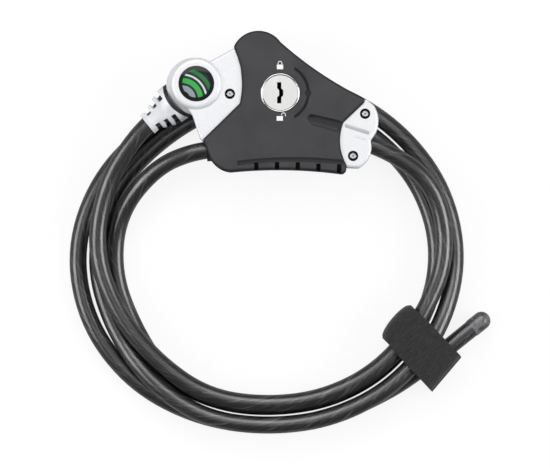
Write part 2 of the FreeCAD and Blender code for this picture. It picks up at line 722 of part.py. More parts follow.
def cylinder_plug():
    plug = disc(PLUG_RADIUS, SHELL_BOTTOM, PLUG_FACE_BOTTOM, KEY_CENTRE)
    plug = plug.fuse(disc(PLUG_FACE_RADIUS, PLUG_FACE_BOTTOM, HEAD_HALF_THICKNESS, KEY_CENTRE))
    plug = plug.fuse(disc(TAIL_RADIUS, CAM_BOTTOM, SHELL_BOTTOM, KEY_CENTRE))
    for i in range(WAFER_COUNT):
        plug = plug.cut(wafer_slot(i))
    bottom = wafer_level(WAFER_COUNT - 1) - WAFER_THICKNESS
    return plug.cut(keyway(bottom, HEAD_HALF_THICKNESS))


def plug_clip():
    low = SHELL_BOTTOM - RUNNING_CLEARANCE - CLIP_THICKNESS
    clip = ring(TAIL_RADIUS, CLIP_RADIUS, low, low + CLIP_THICKNESS, KEY_CENTRE)
    mouth = box(KEY_CENTRE.x, TAIL_RADIUS, KEY_CENTRE.y, KEY_CENTRE.y + CLIP_RADIUS + 1, low, SHELL_BOTTOM)
    return clip.cut(mouth)


def plug_cam():
    cam = ring(TAIL_RADIUS, CAM_RADIUS, CAM_BOTTOM, CAM_TOP, KEY_CENTRE)
    pin_at = KEY_CENTRE - V(0, CAM_ECCENTRICITY, 0)
    plate = disc(TAIL_RADIUS + 1, CAM_BOTTOM - SLIDE_CLEARANCE / 2, CAM_BOTTOM, KEY_CENTRE)
    return cam.fuse(plate).fuse(disc(CAM_PIN_RADIUS, ARM_BOTTOM, CAM_BOTTOM, pin_at))


# A smooth curve through rows of (angle, value), without waves between them
def ease(rows, angle):
    rates = [(b[1] - a[1]) / (b[0] - a[0]) for a, b in zip(rows, rows[1:])]
    slopes = [rates[0]]
    for before, after in zip(rates, rates[1:]):
        slopes.append(2 * before * after / (before + after) if before * after > 0 else 0.0)
    slopes.append(rates[-1])
    if angle <= rows[0][0]:
        return rows[0][1]
    for i in range(len(rates)):
        low, high = rows[i], rows[i + 1]
        if angle <= high[0]:
            span = high[0] - low[0]
            t = (angle - low[0]) / span
            rise = (3 - 2 * t) * t * t
            start_pull = t * (1 - t) * (1 - t) * span * slopes[i]
            end_pull = t * t * (t - 1) * span * slopes[i + 1]
            return low[1] + (high[1] - low[1]) * rise + start_pull + end_pull
    return rows[-1][1]


# Radius of the outermost lane at any angle, through the outline's sizes, which repeat each turn
def outline_radius(angle):
    count = len(COIL_OUTLINE)
    place = (angle % 360.0) / 360.0 * count
    i = int(place)
    t = place - i
    a, b, c, d = [COIL_OUTLINE[(i + k) % count] for k in (-1, 0, 1, 2)]
    return b + (c - a) / 2 * t + (a - 2.5 * b + 2 * c - d / 2) * t * t + (1.5 * (b - c) + (d - a) / 2) * t ** 3


def strap_rise(angle):
    turned = angle % 360.0
    if turned < STRAP_RISE[0][0]:
        turned += 360.0
    return ease(STRAP_RISE, turned)


def lane_point(lane, angle):
    inside = ease([(row[0], row[1]) for row in lane], angle)
    height = ease([(row[0], row[2]) for row in lane], angle) + strap_rise(angle)
    place = RING_CENTRE + unit(angle) * (outline_radius(angle) - inside)
    return V(place.x, place.y, CABLE_CENTRE_ON_FLOOR + height)


def lane_route(lane):
    start, end = lane[0][0], lane[-1][0]
    steps = max(2, round((end - start) / ROUTE_STEP))
    return [lane_point(lane, start + (end - start) * i / steps) for i in range(steps + 1)]


# Two tangent arcs between two points with given directions
def biarc(p0, t0, p1, t1):
    chord = p1 - p0
    both = t0 + t1
    straightness = 1 - t0.dot(t1)
    if straightness < 1e-9:
        return [Part.LineSegment(p0, p1).toShape()]
    along = chord.dot(both)
    reach = (-along + math.sqrt(along * along + 2 * straightness * chord.dot(chord))) / (2 * straightness)
    joint = (p0 + p1 + (t0 - t1) * reach) * 0.5
    return [arc_from(p0, t0, joint), arc_from(joint, None, p1, t1)]


def arc_from(start, heading, end, last_heading=None):
    chord = end - start
    tangent = heading if heading is not None else last_heading
    sign = 1 if heading is not None else -1
    across = tangent - chord * (tangent.dot(chord) / chord.dot(chord))
    if across.Length < 1e-6:
        return Part.LineSegment(start, end).toShape()
    sine = across.Length
    cosine = tangent.dot(chord) / chord.Length
    sagitta = chord.Length / 2 * sine / (1 + cosine)
    middle = (start + end) * 0.5 + across.normalize() * (sagitta * sign)
    return Part.Arc(start, middle, end).toShape()


def route_edges(points, first_heading, last_heading):
    headings = [first_heading]
    for before, here, after in zip(points, points[1:], points[2:]):
        left = here - before
        right = after - here
        heading = left * (right.Length / left.Length) + right * (left.Length / right.Length)
        headings.append(heading.normalize())
    headings.append(last_heading)
    edges = []
    for i in range(len(points) - 1):
        edges += biarc(points[i], headings[i], points[i + 1], headings[i + 1])
    return edges


def cable_tube(edges, name):
    wire = Part.Wire(edges)
    start = wire.OrderedVertexes[0].Point
    heading = wire.OrderedEdges[0].tangentAt(wire.OrderedEdges[0].FirstParameter)
    if (wire.OrderedEdges[0].valueAt(wire.OrderedEdges[0].FirstParameter) - start).Length > 1e-6:
        heading = wire.OrderedEdges[0].tangentAt(wire.OrderedEdges[0].LastParameter) * -1
    profile = Part.Wire(Part.makeCircle(CABLE_RADIUS, start, heading))
    tube = wire.makePipeShell([profile], True, False)
    section = math.pi * CABLE_RADIUS ** 2
    radii = [e.Curve.Radius for e in edges if hasattr(e.Curve, "Radius")]
    print(name, "length", round(wire.Length, 1), "least radius", round(min(radii), 1))
    print(name, "volume over section times length", round(tube.Volume / section / wire.Length, 4))
    return tube


def fixed_end_route():
    start = BOSS_CENTRE + RELIEF_AXIS * (FERRULE_FLOOR - FERRULE_BACK)
    end = BOSS_CENTRE + RELIEF_AXIS * (RELIEF_START + RELIEF_LENGTH)
    points = [end] + lane_route(FIRST_LOOP_LANE)[1:-1] + [PASSAGE_IN]
    straight = Part.LineSegment(start, end).toShape()
    return [straight] + route_edges(points, RELIEF_AXIS, MOUTH_AXIS)


def coil_route():
    tail = [V(x, y, CABLE_CENTRE_ON_FLOOR + height) for x, y, height in TAIL]
    points = [PASSAGE_OUT] + lane_route(COIL_LANE)[1:] + tail
    return route_edges(points, PASSAGE_AXIS, (tail[-1] - tail[-2]).normalize())


# The least distance between the surfaces of stretches that aren't neighbours along the cable
def least_gap(routes):
    samples = []
    travelled = 0.0
    for edges in routes:
        for edge in edges:
            count = max(2, int(edge.Length / 4))
            for k in range(count):
                place = edge.valueAt(edge.FirstParameter + (edge.LastParameter - edge.FirstParameter) * k / count)
                samples.append((travelled + edge.Length * k / count, place))
            travelled += edge.Length
    best = (1e9, None, None)
    for i, (s, p) in enumerate(samples):
        for t, q in samples[i + 1:]:
            if t - s > 6 * CABLE_DIAMETER:
                best = min(best, ((p - q).Length - CABLE_DIAMETER, tuple(p), tuple(q)))
    return best


def strap():
    low = FLOOR
    inner_low = low + STRAP_THICKNESS
    inner_high = CABLE_CENTRE_ON_FLOOR + STRAP_LIFT + TOP_LANE + CABLE_RADIUS + STRAP_TOP_GAP
    high = inner_high + STRAP_THICKNESS
    outer = strap_block(STRAP_INNER_SIDE - STRAP_THICKNESS, STRAP_OUTER_SIDE + STRAP_THICKNESS, low, high)
    inner = strap_block(STRAP_INNER_SIDE, STRAP_OUTER_SIDE, inner_low, inner_high)
    tab_end = STRAP_OUTER_SIDE + STRAP_THICKNESS + STRAP_TAB_LENGTH
    tab = Part.makeBox(STRAP_TAB_LENGTH + 2 * STRAP_CORNER_RADIUS, STRAP_WIDTH, STRAP_THICKNESS,
                       V(tab_end - STRAP_TAB_LENGTH - 2 * STRAP_CORNER_RADIUS, -STRAP_WIDTH / 2, low))
    band = rounded(outer, STRAP_CORNER_RADIUS).fuse(tab)
    band = band.cut(rounded(inner, STRAP_CORNER_RADIUS - STRAP_THICKNESS))
    band.rotate(V(0, 0, 0), UP, STRAP_HEADING - 90)
    band.translate(STRAP_CENTRE)
    return band


def strap_block(left, right, low, high):
    return Part.makeBox(right - left, STRAP_WIDTH, high - low, V(left, -STRAP_WIDTH / 2, low))


def rounded(block, radius):
    along = [e for e in block.Edges if abs(e.BoundBox.YLength - STRAP_WIDTH) < 1e-6]
    return block.makeFillet(radius, along)


def cable_end_cap(tip, heading):
    outer = CABLE_RADIUS + CAP_WALL
    base = tip - heading * (CAP_LENGTH - CAP_END)
    cap = Part.makeCylinder(outer, CAP_LENGTH, base, heading)
    rim = [e for e in cap.Edges if (e.CenterOfMass - base).dot(heading) > CAP_LENGTH - 1e-3]
    cap = cap.makeFillet(CAP_END, [e for e in rim if len(e.Vertexes) == 1])
    bore = Part.makeCylinder(CABLE_RADIUS + CAP_GAP, CAP_LENGTH - CAP_END, base, heading)
    return cap.cut(bore)


def build():
    export(front_cover(), "front_cover")
    export(rear_cover(), "rear_cover")
    export(lock_body(), "lock_body")
    export(anchor_cover(), "anchor_cover")
    export(anchor_base(), "anchor_base")
    export(outlet_cover(), "outlet_cover")
    export(outlet_base(), "outlet_base")
    export(badge(), "badge")
    export(cable_ferrule(), "cable_ferrule")
    export(relief_collar(), "relief_collar")
    export(strain_relief(), "strain_relief")
    export(inlet_bush(), "inlet_bush")
    export(outlet_bush(), "outlet_bush")
    export(casting_screw(ANCHOR_SCREW_AT), "anchor_screw")
    for i, place in enumerate(OUTLET_SCREWS_AT):
        export(casting_screw(place), "outlet_screw_" + str(i + 1))
    for i, place in enumerate(REAR_SCREWS_AT):
        export(rear_screw(place), "rear_screw_" + str(i + 1))
    export(threaded_inserts(), "threaded_inserts")
    export(cylinder_shell(), "cylinder_shell")
    export(cylinder_bezel(), "cylinder_bezel")
    export(cylinder_plug(), "cylinder_plug")
    export(plug_clip(), "plug_clip")
    export(plug_cam(), "plug_cam")
    for i in range(WAFER_COUNT):
        export(wafer(i), "wafer_" + str(i + 1))
    export(wafer_springs(), "wafer_springs")
    export(locking_jaw(), "locking_jaw")
    export(jaw_spring(), "jaw_spring")

    fixed_end = fixed_end_route()
    coil = coil_route()
    export(cable_tube(fixed_end, "cable_first_loop"), "cable_first_loop")
    export(passage_rod(CABLE_RADIUS), "cable_through_lock")
    tube = cable_tube(coil, "cable_coil")
    reach = tube.BoundBox
    below = Part.makeBox(reach.XLength + 2, reach.YLength + 2, 5, V(reach.XMin - 1, reach.YMin - 1, FLOOR - 5))
    export(tube.cut(below), "cable_coil")
    gap, here, there = least_gap([fixed_end, coil])
    print("least gap", round(gap, 2), [round(c, 1) for c in here], [round(c, 1) for c in there])
    last = coil[-1]
    tip = last.valueAt(last.LastParameter)
    export(cable_end_cap(tip, last.tangentAt(last.LastParameter)), "cable_end_cap")
    export(strap(), "strap")


build()
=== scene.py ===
# %% [markdown]
# # An adjustable locking cable
# The object is a lock head with a key cylinder and a thick coated steel cable. One end of the cable
# is fixed in the head, and the free end runs through it, round a loose coil, and out of a strap.
# The CAD model holds every rigid part at its real size, and this script dresses it. It gives each
# CAD part its finish, and it models by hand what looks better so: the front cover's grip, the cable
# and its cap, the strap, the strain relief with its collar and the flare of the boss, the badge,
# the screws, the bezel, the padlock signs and two low ridges.

# %% Load the frame
import json
import math

import bmesh
import bpy
from mathutils import Matrix, Vector


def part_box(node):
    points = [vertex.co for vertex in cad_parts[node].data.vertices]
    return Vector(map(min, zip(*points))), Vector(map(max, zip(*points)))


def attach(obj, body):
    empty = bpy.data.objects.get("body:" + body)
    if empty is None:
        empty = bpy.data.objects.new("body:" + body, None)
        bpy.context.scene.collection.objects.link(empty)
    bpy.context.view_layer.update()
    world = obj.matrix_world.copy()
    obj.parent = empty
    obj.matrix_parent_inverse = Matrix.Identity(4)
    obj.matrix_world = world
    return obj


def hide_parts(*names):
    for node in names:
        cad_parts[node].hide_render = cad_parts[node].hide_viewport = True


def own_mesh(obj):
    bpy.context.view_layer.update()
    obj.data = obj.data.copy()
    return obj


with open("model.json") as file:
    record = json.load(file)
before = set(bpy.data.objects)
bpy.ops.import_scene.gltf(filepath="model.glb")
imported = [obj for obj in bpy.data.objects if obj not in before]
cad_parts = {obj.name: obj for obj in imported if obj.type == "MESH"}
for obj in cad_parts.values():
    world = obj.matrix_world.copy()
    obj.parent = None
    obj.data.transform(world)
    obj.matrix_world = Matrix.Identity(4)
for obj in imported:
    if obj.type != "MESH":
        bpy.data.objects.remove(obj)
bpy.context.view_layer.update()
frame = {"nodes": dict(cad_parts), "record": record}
# Blender works in metres. A length with MM is in metres, and plain numbers in rows are millimetres
# and degrees, which the function that reads the rows scales.
MM = 0.001

# %% [markdown]
# The frame gives the box of each node, so the places of the new pieces are read from it: the boss
# centre is the badge's centre, the floor is the lowest point of the coil, and so on.

# %% Places read from the frame
def centre_of(node):
    low, high = (Vector(corner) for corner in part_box(node))
    return (low + high) / 2


HEAD_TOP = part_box("front_cover")[1][2]
CASTING_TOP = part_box("anchor_screw")[1][2]
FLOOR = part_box("cable_coil")[0][2]
STRAP_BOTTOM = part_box("strap")[0][2]
BOSS = centre_of("badge")
KEY = centre_of("cylinder_bezel")
print("head top", round(HEAD_TOP, 4), "floor", round(FLOOR, 4))

# %% [markdown]
# Modelling operators act on what is selected, so each piece starts with nothing selected. Faces and
# vertices are chosen by a rule, such as "faces that look up", and then inset, moved or extruded.
# Booleans and bevels wait as modifiers, and settling the piece applies them and drops the cutters.

# %% Helpers that start a piece
def start_clean():
    if bpy.context.object and bpy.context.object.mode != "OBJECT":
        bpy.ops.object.mode_set(mode="OBJECT")
    bpy.ops.object.select_all(action="DESELECT")


def activate(piece):
    start_clean()
    piece.select_set(True)
    bpy.context.view_layer.objects.active = piece


def link_new(name, data):
    piece = bpy.data.objects.new(name, data)
    bpy.context.collection.objects.link(piece)
    return piece


def take_new(name):
    piece = bpy.context.object
    piece.name = name
    piece.data.name = name
    return piece


def add_cylinder(name, sides, radius, depth, place=(0, 0, 0)):
    start_clean()
    bpy.ops.mesh.primitive_cylinder_add(vertices=sides, radius=radius, depth=depth, location=place)
    return take_new(name)


def add_bar(name, size, place=(0, 0, 0)):
    start_clean()
    bpy.ops.mesh.primitive_cube_add(size=1, location=place)
    bar = take_new(name)
    bar.scale = size
    bpy.ops.object.transform_apply(location=False, rotation=False, scale=True)
    return bar


def add_spline(curve, kind, places):
    spline = curve.splines.new(kind)
    spline.points.add(len(places) - 1)
    for point, place in zip(spline.points, places):
        point.co = (*place, 1.0)
    return spline


# %% Helpers that shape a piece
# A face looks along an axis when its normal's share of that axis is larger
FACING = 0.9


# The kind is "faces" or "verts", as bmesh calls them
def choose(piece, rule, kind="faces"):
    bpy.ops.object.mode_set(mode="EDIT")
    bpy.ops.mesh.select_mode(type="FACE" if kind == "faces" else "VERT")
    bpy.ops.mesh.select_all(action="DESELECT")
    mesh = bmesh.from_edit_mesh(piece.data)
    for part in getattr(mesh, kind):
        if rule(part):
            part.select_set(True)
    bmesh.update_edit_mesh(piece.data)


def looks_up(face):
    return face.normal.z > FACING


def carve(piece, operation, cutter):
    step = piece.modifiers.new("carve", "BOOLEAN")
    step.operation = operation
    step.object = cutter
    step.solver = "EXACT"


def soften_edges(piece, width, segments=2, degrees=35):
    step = piece.modifiers.new("soften", "BEVEL")
    step.width = width
    step.segments = segments
    step.limit_method = "ANGLE"
    step.angle_limit = math.radians(degrees)


def settle(piece, smooth_degrees=35):
    activate(piece)
    bpy.ops.object.transform_apply(location=True, rotation=True, scale=True)
    cutters = [step.object for step in piece.modifiers if step.type == "BOOLEAN"]
    for step in list(piece.modifiers):
        bpy.ops.object.modifier_apply(modifier=step.name)
    for cutter in cutters:
        bpy.data.objects.remove(cutter)
    bpy.ops.object.shade_smooth_by_angle(angle=math.radians(smooth_degrees))
    start_clean()
    return piece


# %% [markdown]
# A material is a small tree of nodes. One function adds a node, sets its inputs and properties, and
# links it on both sides. A colour is written as a web page writes it, in sRGB, and Blender mixes
# light in linear values, so one function turns the one into the other.

# %% Colours and ramps
# Takes "#rrggbb" or a grey number, and a share of it where a darker tone is wanted
def colour(value, share=1.0):
    linear = [value, value, value]
    if isinstance(value, str):
        channels = [int(value[i:i + 2], 16) / 255 for i in (1, 3, 5)]
        linear = [c / 12.92 if c <= 0.04045 else ((c + 0.055) / 1.055) ** 2.4 for c in channels]
    return [c * share for c in linear] + [1.0]


def set_socket(socket, value):
    socket.default_value = colour(value) if isinstance(value, str) else value


def set_ramp(ramp, stops, interpolation):
    ramp.interpolation = interpolation
    while len(ramp.elements) < len(stops):
        ramp.elements.new(0.5)
    for element, (place, *tone) in zip(ramp.elements, stops):
        element.position = place
        element.color = colour(*tone)


# %% Nodes
# Settings name an input or a property of the node. "LINEAR" or "CONSTANT" stands for its ramp, and
# the value is then the ramp's stops.
def add_node(tree, kind, settings=None, links=None, feeds=None):
    node = tree.nodes.new("ShaderNode" + kind)
    for name, value in (settings or {}).items():
        if name in ("LINEAR", "CONSTANT"):
            set_ramp(node.color_ramp, value, name)
        elif isinstance(name, int) or name in node.inputs.keys():
            set_socket(node.inputs[name], value)
        else:
            setattr(node, name, value)
    for name, source in (links or {}).items():
        tree.links.new(source, node.inputs[name])
    for name, target in (feeds or {}).items():
        tree.links.new(node.outputs[name], target)
    return node


# %% Helpers for a finish
def start_material(name, **sockets):
    material = bpy.data.materials.new(name)
    material.use_nodes = True
    tree = material.node_tree
    shader = tree.nodes["Principled BSDF"]
    for socket, value in sockets.items():
        set_socket(shader.inputs[socket.replace("_", " ")], value)
    return material, tree, shader


# Lets a pattern drive sockets of the shader, each through a ramp of its own
def drive(tree, shader, pattern, **ramps):
    for socket, stops in ramps.items():
        add_node(tree, "ValToRGB", {"LINEAR": stops}, {"Fac": pattern},
                 {"Color": shader.inputs[socket.replace("_", " ")]})


# Raises a fine grain, given by the size of its grains and their height
def add_grain(tree, shader, place, grain, height, detail=3.0):
    noise = add_node(tree, "TexNoise", {"Scale": 1 / grain, "Detail": detail}, {"Vector": place})
    add_node(tree, "Bump", {"Distance": height, "Strength": 1.0}, {"Height": noise.outputs["Fac"]},
             {"Normal": shader.inputs["Normal"]})


# %% [markdown]
# The covers are black glass-filled nylon, moulded against a spark-eroded steel tool. That gives a
# dry, even grain of about a third of a millimetre that scatters light, so the plastic looks dark
# grey and never mirrors. The flat top has faint worn patches, while everything more than a little
# below it, such as its rounded edges, grooves and notches, is painted near black as painted shade,
# so the colour follows the depth. The two covers meet in one plane, and a dark line painted round
# the side along that seam is painted shade of its fine gap.

# %% Spark-textured black nylon
SPARK_GRAIN = 0.35 * MM
SPARK_HEIGHT = 0.03 * MM
WORN_PATCH = 14 * MM
PAINTED_SHADE_DEPTH = 0.45 * MM
SEAM_HALF_WIDTH = 0.16 * MM


# The upper and the lower parts of the head meet at a height of 0, and a dark line painted along that seam is
# painted shade of its fine gap
def paint_seam_shade(tree, shader, height, tone, seam_shade_tone):
    away = add_node(tree, "Math", {"operation": "ABSOLUTE"}, {0: height})
    seam = add_node(tree, "Math", {"operation": "LESS_THAN", 1: SEAM_HALF_WIDTH}, {0: away.outputs["Value"]})
    add_node(tree, "Mix", {"data_type": "RGBA", 7: seam_shade_tone}, {0: seam.outputs["Value"], 6: tone},
             {2: shader.inputs["Base Color"]})


def spark_textured_nylon():
    material, tree, shader = start_material("black_spark_textured_nylon", IOR=1.53, Specular_IOR_Level=0.28)
    place = add_node(tree, "TexCoord").outputs["Object"]
    height = add_node(tree, "SeparateXYZ", links={"Vector": place}).outputs["Z"]
    add_grain(tree, shader, place, SPARK_GRAIN, SPARK_HEIGHT)
    patches = add_node(tree, "TexNoise", {"Scale": 1 / WORN_PATCH, "Detail": 2.0}, {"Vector": place})
    worn = add_node(tree, "ValToRGB", {"LINEAR": [(0.3, "#303032"), (0.7, "#37373a")]},
                    {"Fac": patches.outputs["Fac"]})
    # Painted shade: more than a little below the flat top the colour goes near black, in grooves, notches
    # and on edges
    near_top = add_node(tree, "MapRange", {"From Min": HEAD_TOP - PAINTED_SHADE_DEPTH, "From Max": HEAD_TOP},
                        {"Value": height})
    tone = add_node(tree, "Mix", {"data_type": "RGBA", 6: "#1d1d1f"},
                    {0: near_top.outputs["Result"], 7: worn.outputs["Color"]})
    paint_seam_shade(tree, shader, height, tone.outputs[2], "#040404")
    drive(tree, shader, patches.outputs["Fac"], Roughness=[(0.3, 0.66), (0.7, 0.56)])
    return material


# %% [markdown]
# The castings are zinc, tumbled and sprayed with a silver lacquer. Fine metal flakes in the lacquer
# give it a soft shine, and the paint pools a little, which a faint slow bump shows.

# %% Silver lacquer on cast zinc
LACQUER_POOL = 2.2 * MM
LACQUER_HEIGHT = 0.02 * MM
# Real flakes are a few hundredths of a millimetre wide, too fine to show, so they are drawn coarser
METAL_FLAKE = 0.25 * MM


def silver_lacquer():
    material, tree, shader = start_material("silver_lacquer_on_zinc", Metallic=0.35, IOR=1.5,
                                            Specular_IOR_Level=0.35, Coat_Weight=0.15, Coat_Roughness=0.25)
    place = add_node(tree, "TexCoord").outputs["Object"]
    height = add_node(tree, "SeparateXYZ", links={"Vector": place}).outputs["Z"]
    add_grain(tree, shader, place, LACQUER_POOL, LACQUER_HEIGHT, 2.0)
    flakes = add_node(tree, "TexNoise", {"Scale": 1 / METAL_FLAKE, "Detail": 1.0}, {"Vector": place})
    silver = add_node(tree, "ValToRGB", {"LINEAR": [(0.35, "#d2d3d5"), (0.65, "#e0e1e3")]},
                      {"Fac": flakes.outputs["Fac"]})
    # Painted shade: a grey line along the castings' seam at height 0 stands for the shade in its gap
    paint_seam_shade(tree, shader, height, silver.outputs["Color"], "#5c5d60")
    drive(tree, shader, flakes.outputs["Fac"], Roughness=[(0.3, 0.42), (0.7, 0.52)])
    return material


# %% [markdown]
# The key plug is brass, turned on a lathe and plated with satin nickel. The lathe leaves rings
# round the plug's axis, about a fifth of a millimetre apart, and they spread highlights sideways.
# Below the plug's face the keyway's walls are painted near black, as painted shade of the deep slot.
# The bezel is turned more finely and then chromed, so its rings are shallower and its shine is clear.

# %% Turned metals
RING_PITCH = 0.22 * MM
PLUG_RING_HEIGHT = 0.003 * MM
BEZEL_RING_HEIGHT = 0.001 * MM
SMUDGE = 3 * MM
# Blender's wave pattern repeats after this length at a scale of 1
WAVE_LENGTH = math.pi / 10


def turned_metal(name, tone, roughness, ring_height, painted_shade_below=None):
    material, tree, shader = start_material(name, Metallic=1.0, Base_Color=tone)
    place = add_node(tree, "TexCoord").outputs["Object"]
    # Painted shade: below the keyway's top its walls are painted near black
    if painted_shade_below is not None:
        height = add_node(tree, "SeparateXYZ", links={"Vector": place}).outputs["Z"]
        above = add_node(tree, "Math", {"operation": "GREATER_THAN", 1: painted_shade_below}, {0: height})
        drive(tree, shader, above.outputs["Value"], Base_Color=[(0.0, "#050505"), (1.0, tone)])
    centred = add_node(tree, "Mapping", {"Location": (-KEY.x, -KEY.y, 0)}, {"Vector": place})
    rings = add_node(tree, "TexWave", {"wave_type": "RINGS", "rings_direction": "Z", "Distortion": 0.4,
                                       "Detail": 2.0, "Scale": WAVE_LENGTH / RING_PITCH},
                     {"Vector": centred.outputs["Vector"]})
    add_node(tree, "Bump", {"Distance": ring_height, "Strength": 1.0}, {"Height": rings.outputs["Fac"]},
             {"Normal": shader.inputs["Normal"]})
    smudges = add_node(tree, "TexNoise", {"Scale": 1 / SMUDGE, "Detail": 3.0}, {"Vector": place})
    drive(tree, shader, smudges.outputs["Fac"], Roughness=[(0.3, roughness), (0.75, roughness + 0.12)])
    return material


# %% [markdown]
# Hidden metal parts, such as the wafers, the cam and the jaw, are stamped or machined and only
# deburred. A plain metal with fine scratches and stains is close to how they come out of the lock.

# %% Plain machined metals
SCRATCH_LENGTH = 6 * MM
# A real scratch is a tenth as wide, and wouldn't show
SCRATCH_WIDTH = 0.3 * MM


def machined_metal(name, tone, roughness):
    material, tree, shader = start_material(name, Metallic=1.0)
    place = add_node(tree, "TexCoord").outputs["Object"]
    drawn_out = (1 / SCRATCH_LENGTH, 1 / SCRATCH_WIDTH, 1 / SCRATCH_WIDTH)
    stretched = add_node(tree, "Mapping", {"Scale": drawn_out}, {"Vector": place})
    scratches = add_node(tree, "TexNoise", {"Scale": 1.0, "Detail": 3.0},
                         {"Vector": stretched.outputs["Vector"]})
    drive(tree, shader, scratches.outputs["Fac"], Base_Color=[(0.3, tone, 0.8), (0.7, tone)],
          Roughness=[(0.3, roughness), (0.7, roughness + 0.15)])
    return material


# %% [markdown]
# Moulded rubber, printing ink and thin paint have no pattern of their own. Under a lamp they are an
# almost even tone with a fine grain, and faint clouds of tint and gloss keep them from looking flat.

# %% Plain surfaces with a grain
TINT_CLOUD = 5 * MM
GRAIN_HEIGHT = 0.02 * MM


def grained_surface(name, dark, light, roughness, grain):
    material, tree, shader = start_material(name, IOR=1.5)
    place = add_node(tree, "TexCoord").outputs["Object"]
    add_grain(tree, shader, place, grain, GRAIN_HEIGHT)
    clouds = add_node(tree, "TexNoise", {"Scale": 1 / TINT_CLOUD, "Detail": 3.0}, {"Vector": place})
    drive(tree, shader, clouds.outputs["Fac"], Base_Color=[(0.3, dark), (0.7, light)],
          Roughness=[(0.3, roughness), (0.7, roughness - 0.1)])
    return material


# %% Finishes of the CAD parts
KEYWAY_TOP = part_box("cylinder_plug")[1][2] - 0.1 * MM
RUBBER_GRAIN = 0.5 * MM
nylon = spark_textured_nylon()
lacquer = silver_lacquer()
nickel = turned_metal("satin_nickel_on_brass", "#efefed", 0.28, PLUG_RING_HEIGHT, KEYWAY_TOP)
chrome = turned_metal("polished_chrome", "#dcdde0", 0.08, BEZEL_RING_HEIGHT)
zinc = machined_metal("cast_zinc", "#a9abb0", 0.45)
steel = machined_metal("bright_steel", "#b4b4b6", 0.32)
hard_steel = machined_metal("hardened_steel", "#77787b", 0.38)
brass = machined_metal("stamped_brass", "#c9a75a", 0.33)
zinc_plate = machined_metal("zinc_plated_screw", "#e2e3e4", 0.3)
grey_rubber = grained_surface("grey_moulded_tpe", "#b9bbbe", "#d6d7da", 0.55, RUBBER_GRAIN)
dark_rubber = grained_surface("black_moulded_rubber", "#161617", "#202022", 0.6, RUBBER_GRAIN)
print("finishes", len(bpy.data.materials))

# %% [markdown]
# A carried-over CAD node keeps its shape and gets its finish through its material slots. Each slot
# of the record is one finish here, so the nodes are dressed in one loop.

# %% Dress the CAD nodes
FINISH_OF_SLOT = {
    "housing": nylon,
    "casting": lacquer,
    "zinc": zinc,
    "steel": steel,
    "hard_steel": hard_steel,
    "relief": grey_rubber,
    "dark_rubber": dark_rubber,
    "brass": brass,
    "chrome": chrome,
    "nickel": nickel,
    "screw": zinc_plate,
}
for subpart in frame["record"]["subparts"]:
    node = frame["nodes"][subpart["node"]]
    finish = FINISH_OF_SLOT.get(subpart["material_slot"], dark_rubber)
    node.data.materials.clear()
    node.data.materials.append(finish)

# %% [markdown]
# Along its lower edge the front cover has a grip: a soft valley sets off a band, and five notches
# run across the band and over the edge. The CAD cover has the notches' seats alone, and its thumb
# groove is a plain slot. A copy of its mesh is merged, because a node's mesh is loose triangles.
# Tubes and bars are cut from it, and a tongue with a sloped top fills the thumb groove's lower half,
# so that the groove rises softly to that side. A faint line runs beside it.

# %% Sizes of the grip and the thumb groove
# Places are x and y on the head, or a run and a rise on the thumb groove
GRIP_VALLEY = [(-10.0, -27.8), (9.8, -26.2), (38.4, -27.4)]
VALLEY_TUBE = 1.7 * MM
VALLEY_DEPTH = 0.6 * MM
VALLEY_STEPS = 16
GRIP_EDGE = [(-13.2, -31.7), (9.8, -30.6), (39.7, -32.8)]
NOTCH_FIRST = -1.3
NOTCH_PITCH = 9.45
NOTCH_COUNT = 5
NOTCH_WIDTH = 1.9 * MM
NOTCH_DEPTH = 1.8 * MM
NOTCH_REACH = 3.4
WALL_NOTCH_DEPTH = 6 * MM
WALL_NOTCH_REACH = 1.7
CUT_BEYOND = 1.0
THUMB_START = (24.2, -7.6)
THUMB_HEADING = math.radians(-14.0)
THUMB_END = 12.6
THUMB_SHOULDER = [(-1.5, -0.5), (-1.6, 0.0), (-1.4, 0.8), (-0.8, 1.4), (0.0, 1.6), (THUMB_END, 1.6)]
SHOULDER_TUBE = 1.1 * MM
SHOULDER_DEPTH = 0.4 * MM
TONGUE_RUN = (-2.5, THUMB_END)
TONGUE_SIDES = (-2.3, 0.8)
TONGUE_TOPS = (-0.05, -0.8)
TONGUE_FOOT = -1.2
THUMB_LINE = [(22.7, -8.1), (23.2, -9.1), (24.2, -10.0), (26.0, -10.7), (29.3, -11.4), (32.0, -12.3),
              (34.6, -13.1), (36.1, -13.4)]
LINE_TUBE = 0.45 * MM
LINE_DEPTH = 0.25 * MM
SAME_PLACE = 0.001 * MM


# %% Lines on the cover
# A parabola through three points stands in for the long arcs of the edge
def bow(points, x):
    total = 0.0
    for i, (own_x, own_y) in enumerate(points):
        others = [p[0] for k, p in enumerate(points) if k != i]
        total += own_y * (x - others[0]) * (x - others[1]) / ((own_x - others[0]) * (own_x - others[1]))
    return total


def valley_points():
    first, last = GRIP_VALLEY[0][0], GRIP_VALLEY[-1][0]
    stations = [first + (last - first) * i / VALLEY_STEPS for i in range(VALLEY_STEPS + 1)]
    return [(x, bow(GRIP_VALLEY, x)) for x in stations]


# From the thumb groove's own run and rise to the head's x and y
def on_thumb_groove(run, rise):
    cosine, sine = math.cos(THUMB_HEADING), math.sin(THUMB_HEADING)
    return THUMB_START[0] + run * cosine - rise * sine, THUMB_START[1] + run * sine + rise * cosine


# %% Cutters of the grip
# A round bar that lies along the points and dips into the cover's face by the depth
def tube_cutter(points, radius, depth):
    curve = bpy.data.curves.new("cutter", "CURVE")
    curve.dimensions = "3D"
    curve.bevel_depth = radius
    curve.bevel_resolution = 8
    curve.use_fill_caps = True
    add_spline(curve, "POLY", [(x * MM, y * MM, HEAD_TOP + radius - depth) for x, y in points])
    activate(link_new("cutter", curve))
    bpy.ops.object.convert(target="MESH")
    return bpy.context.object


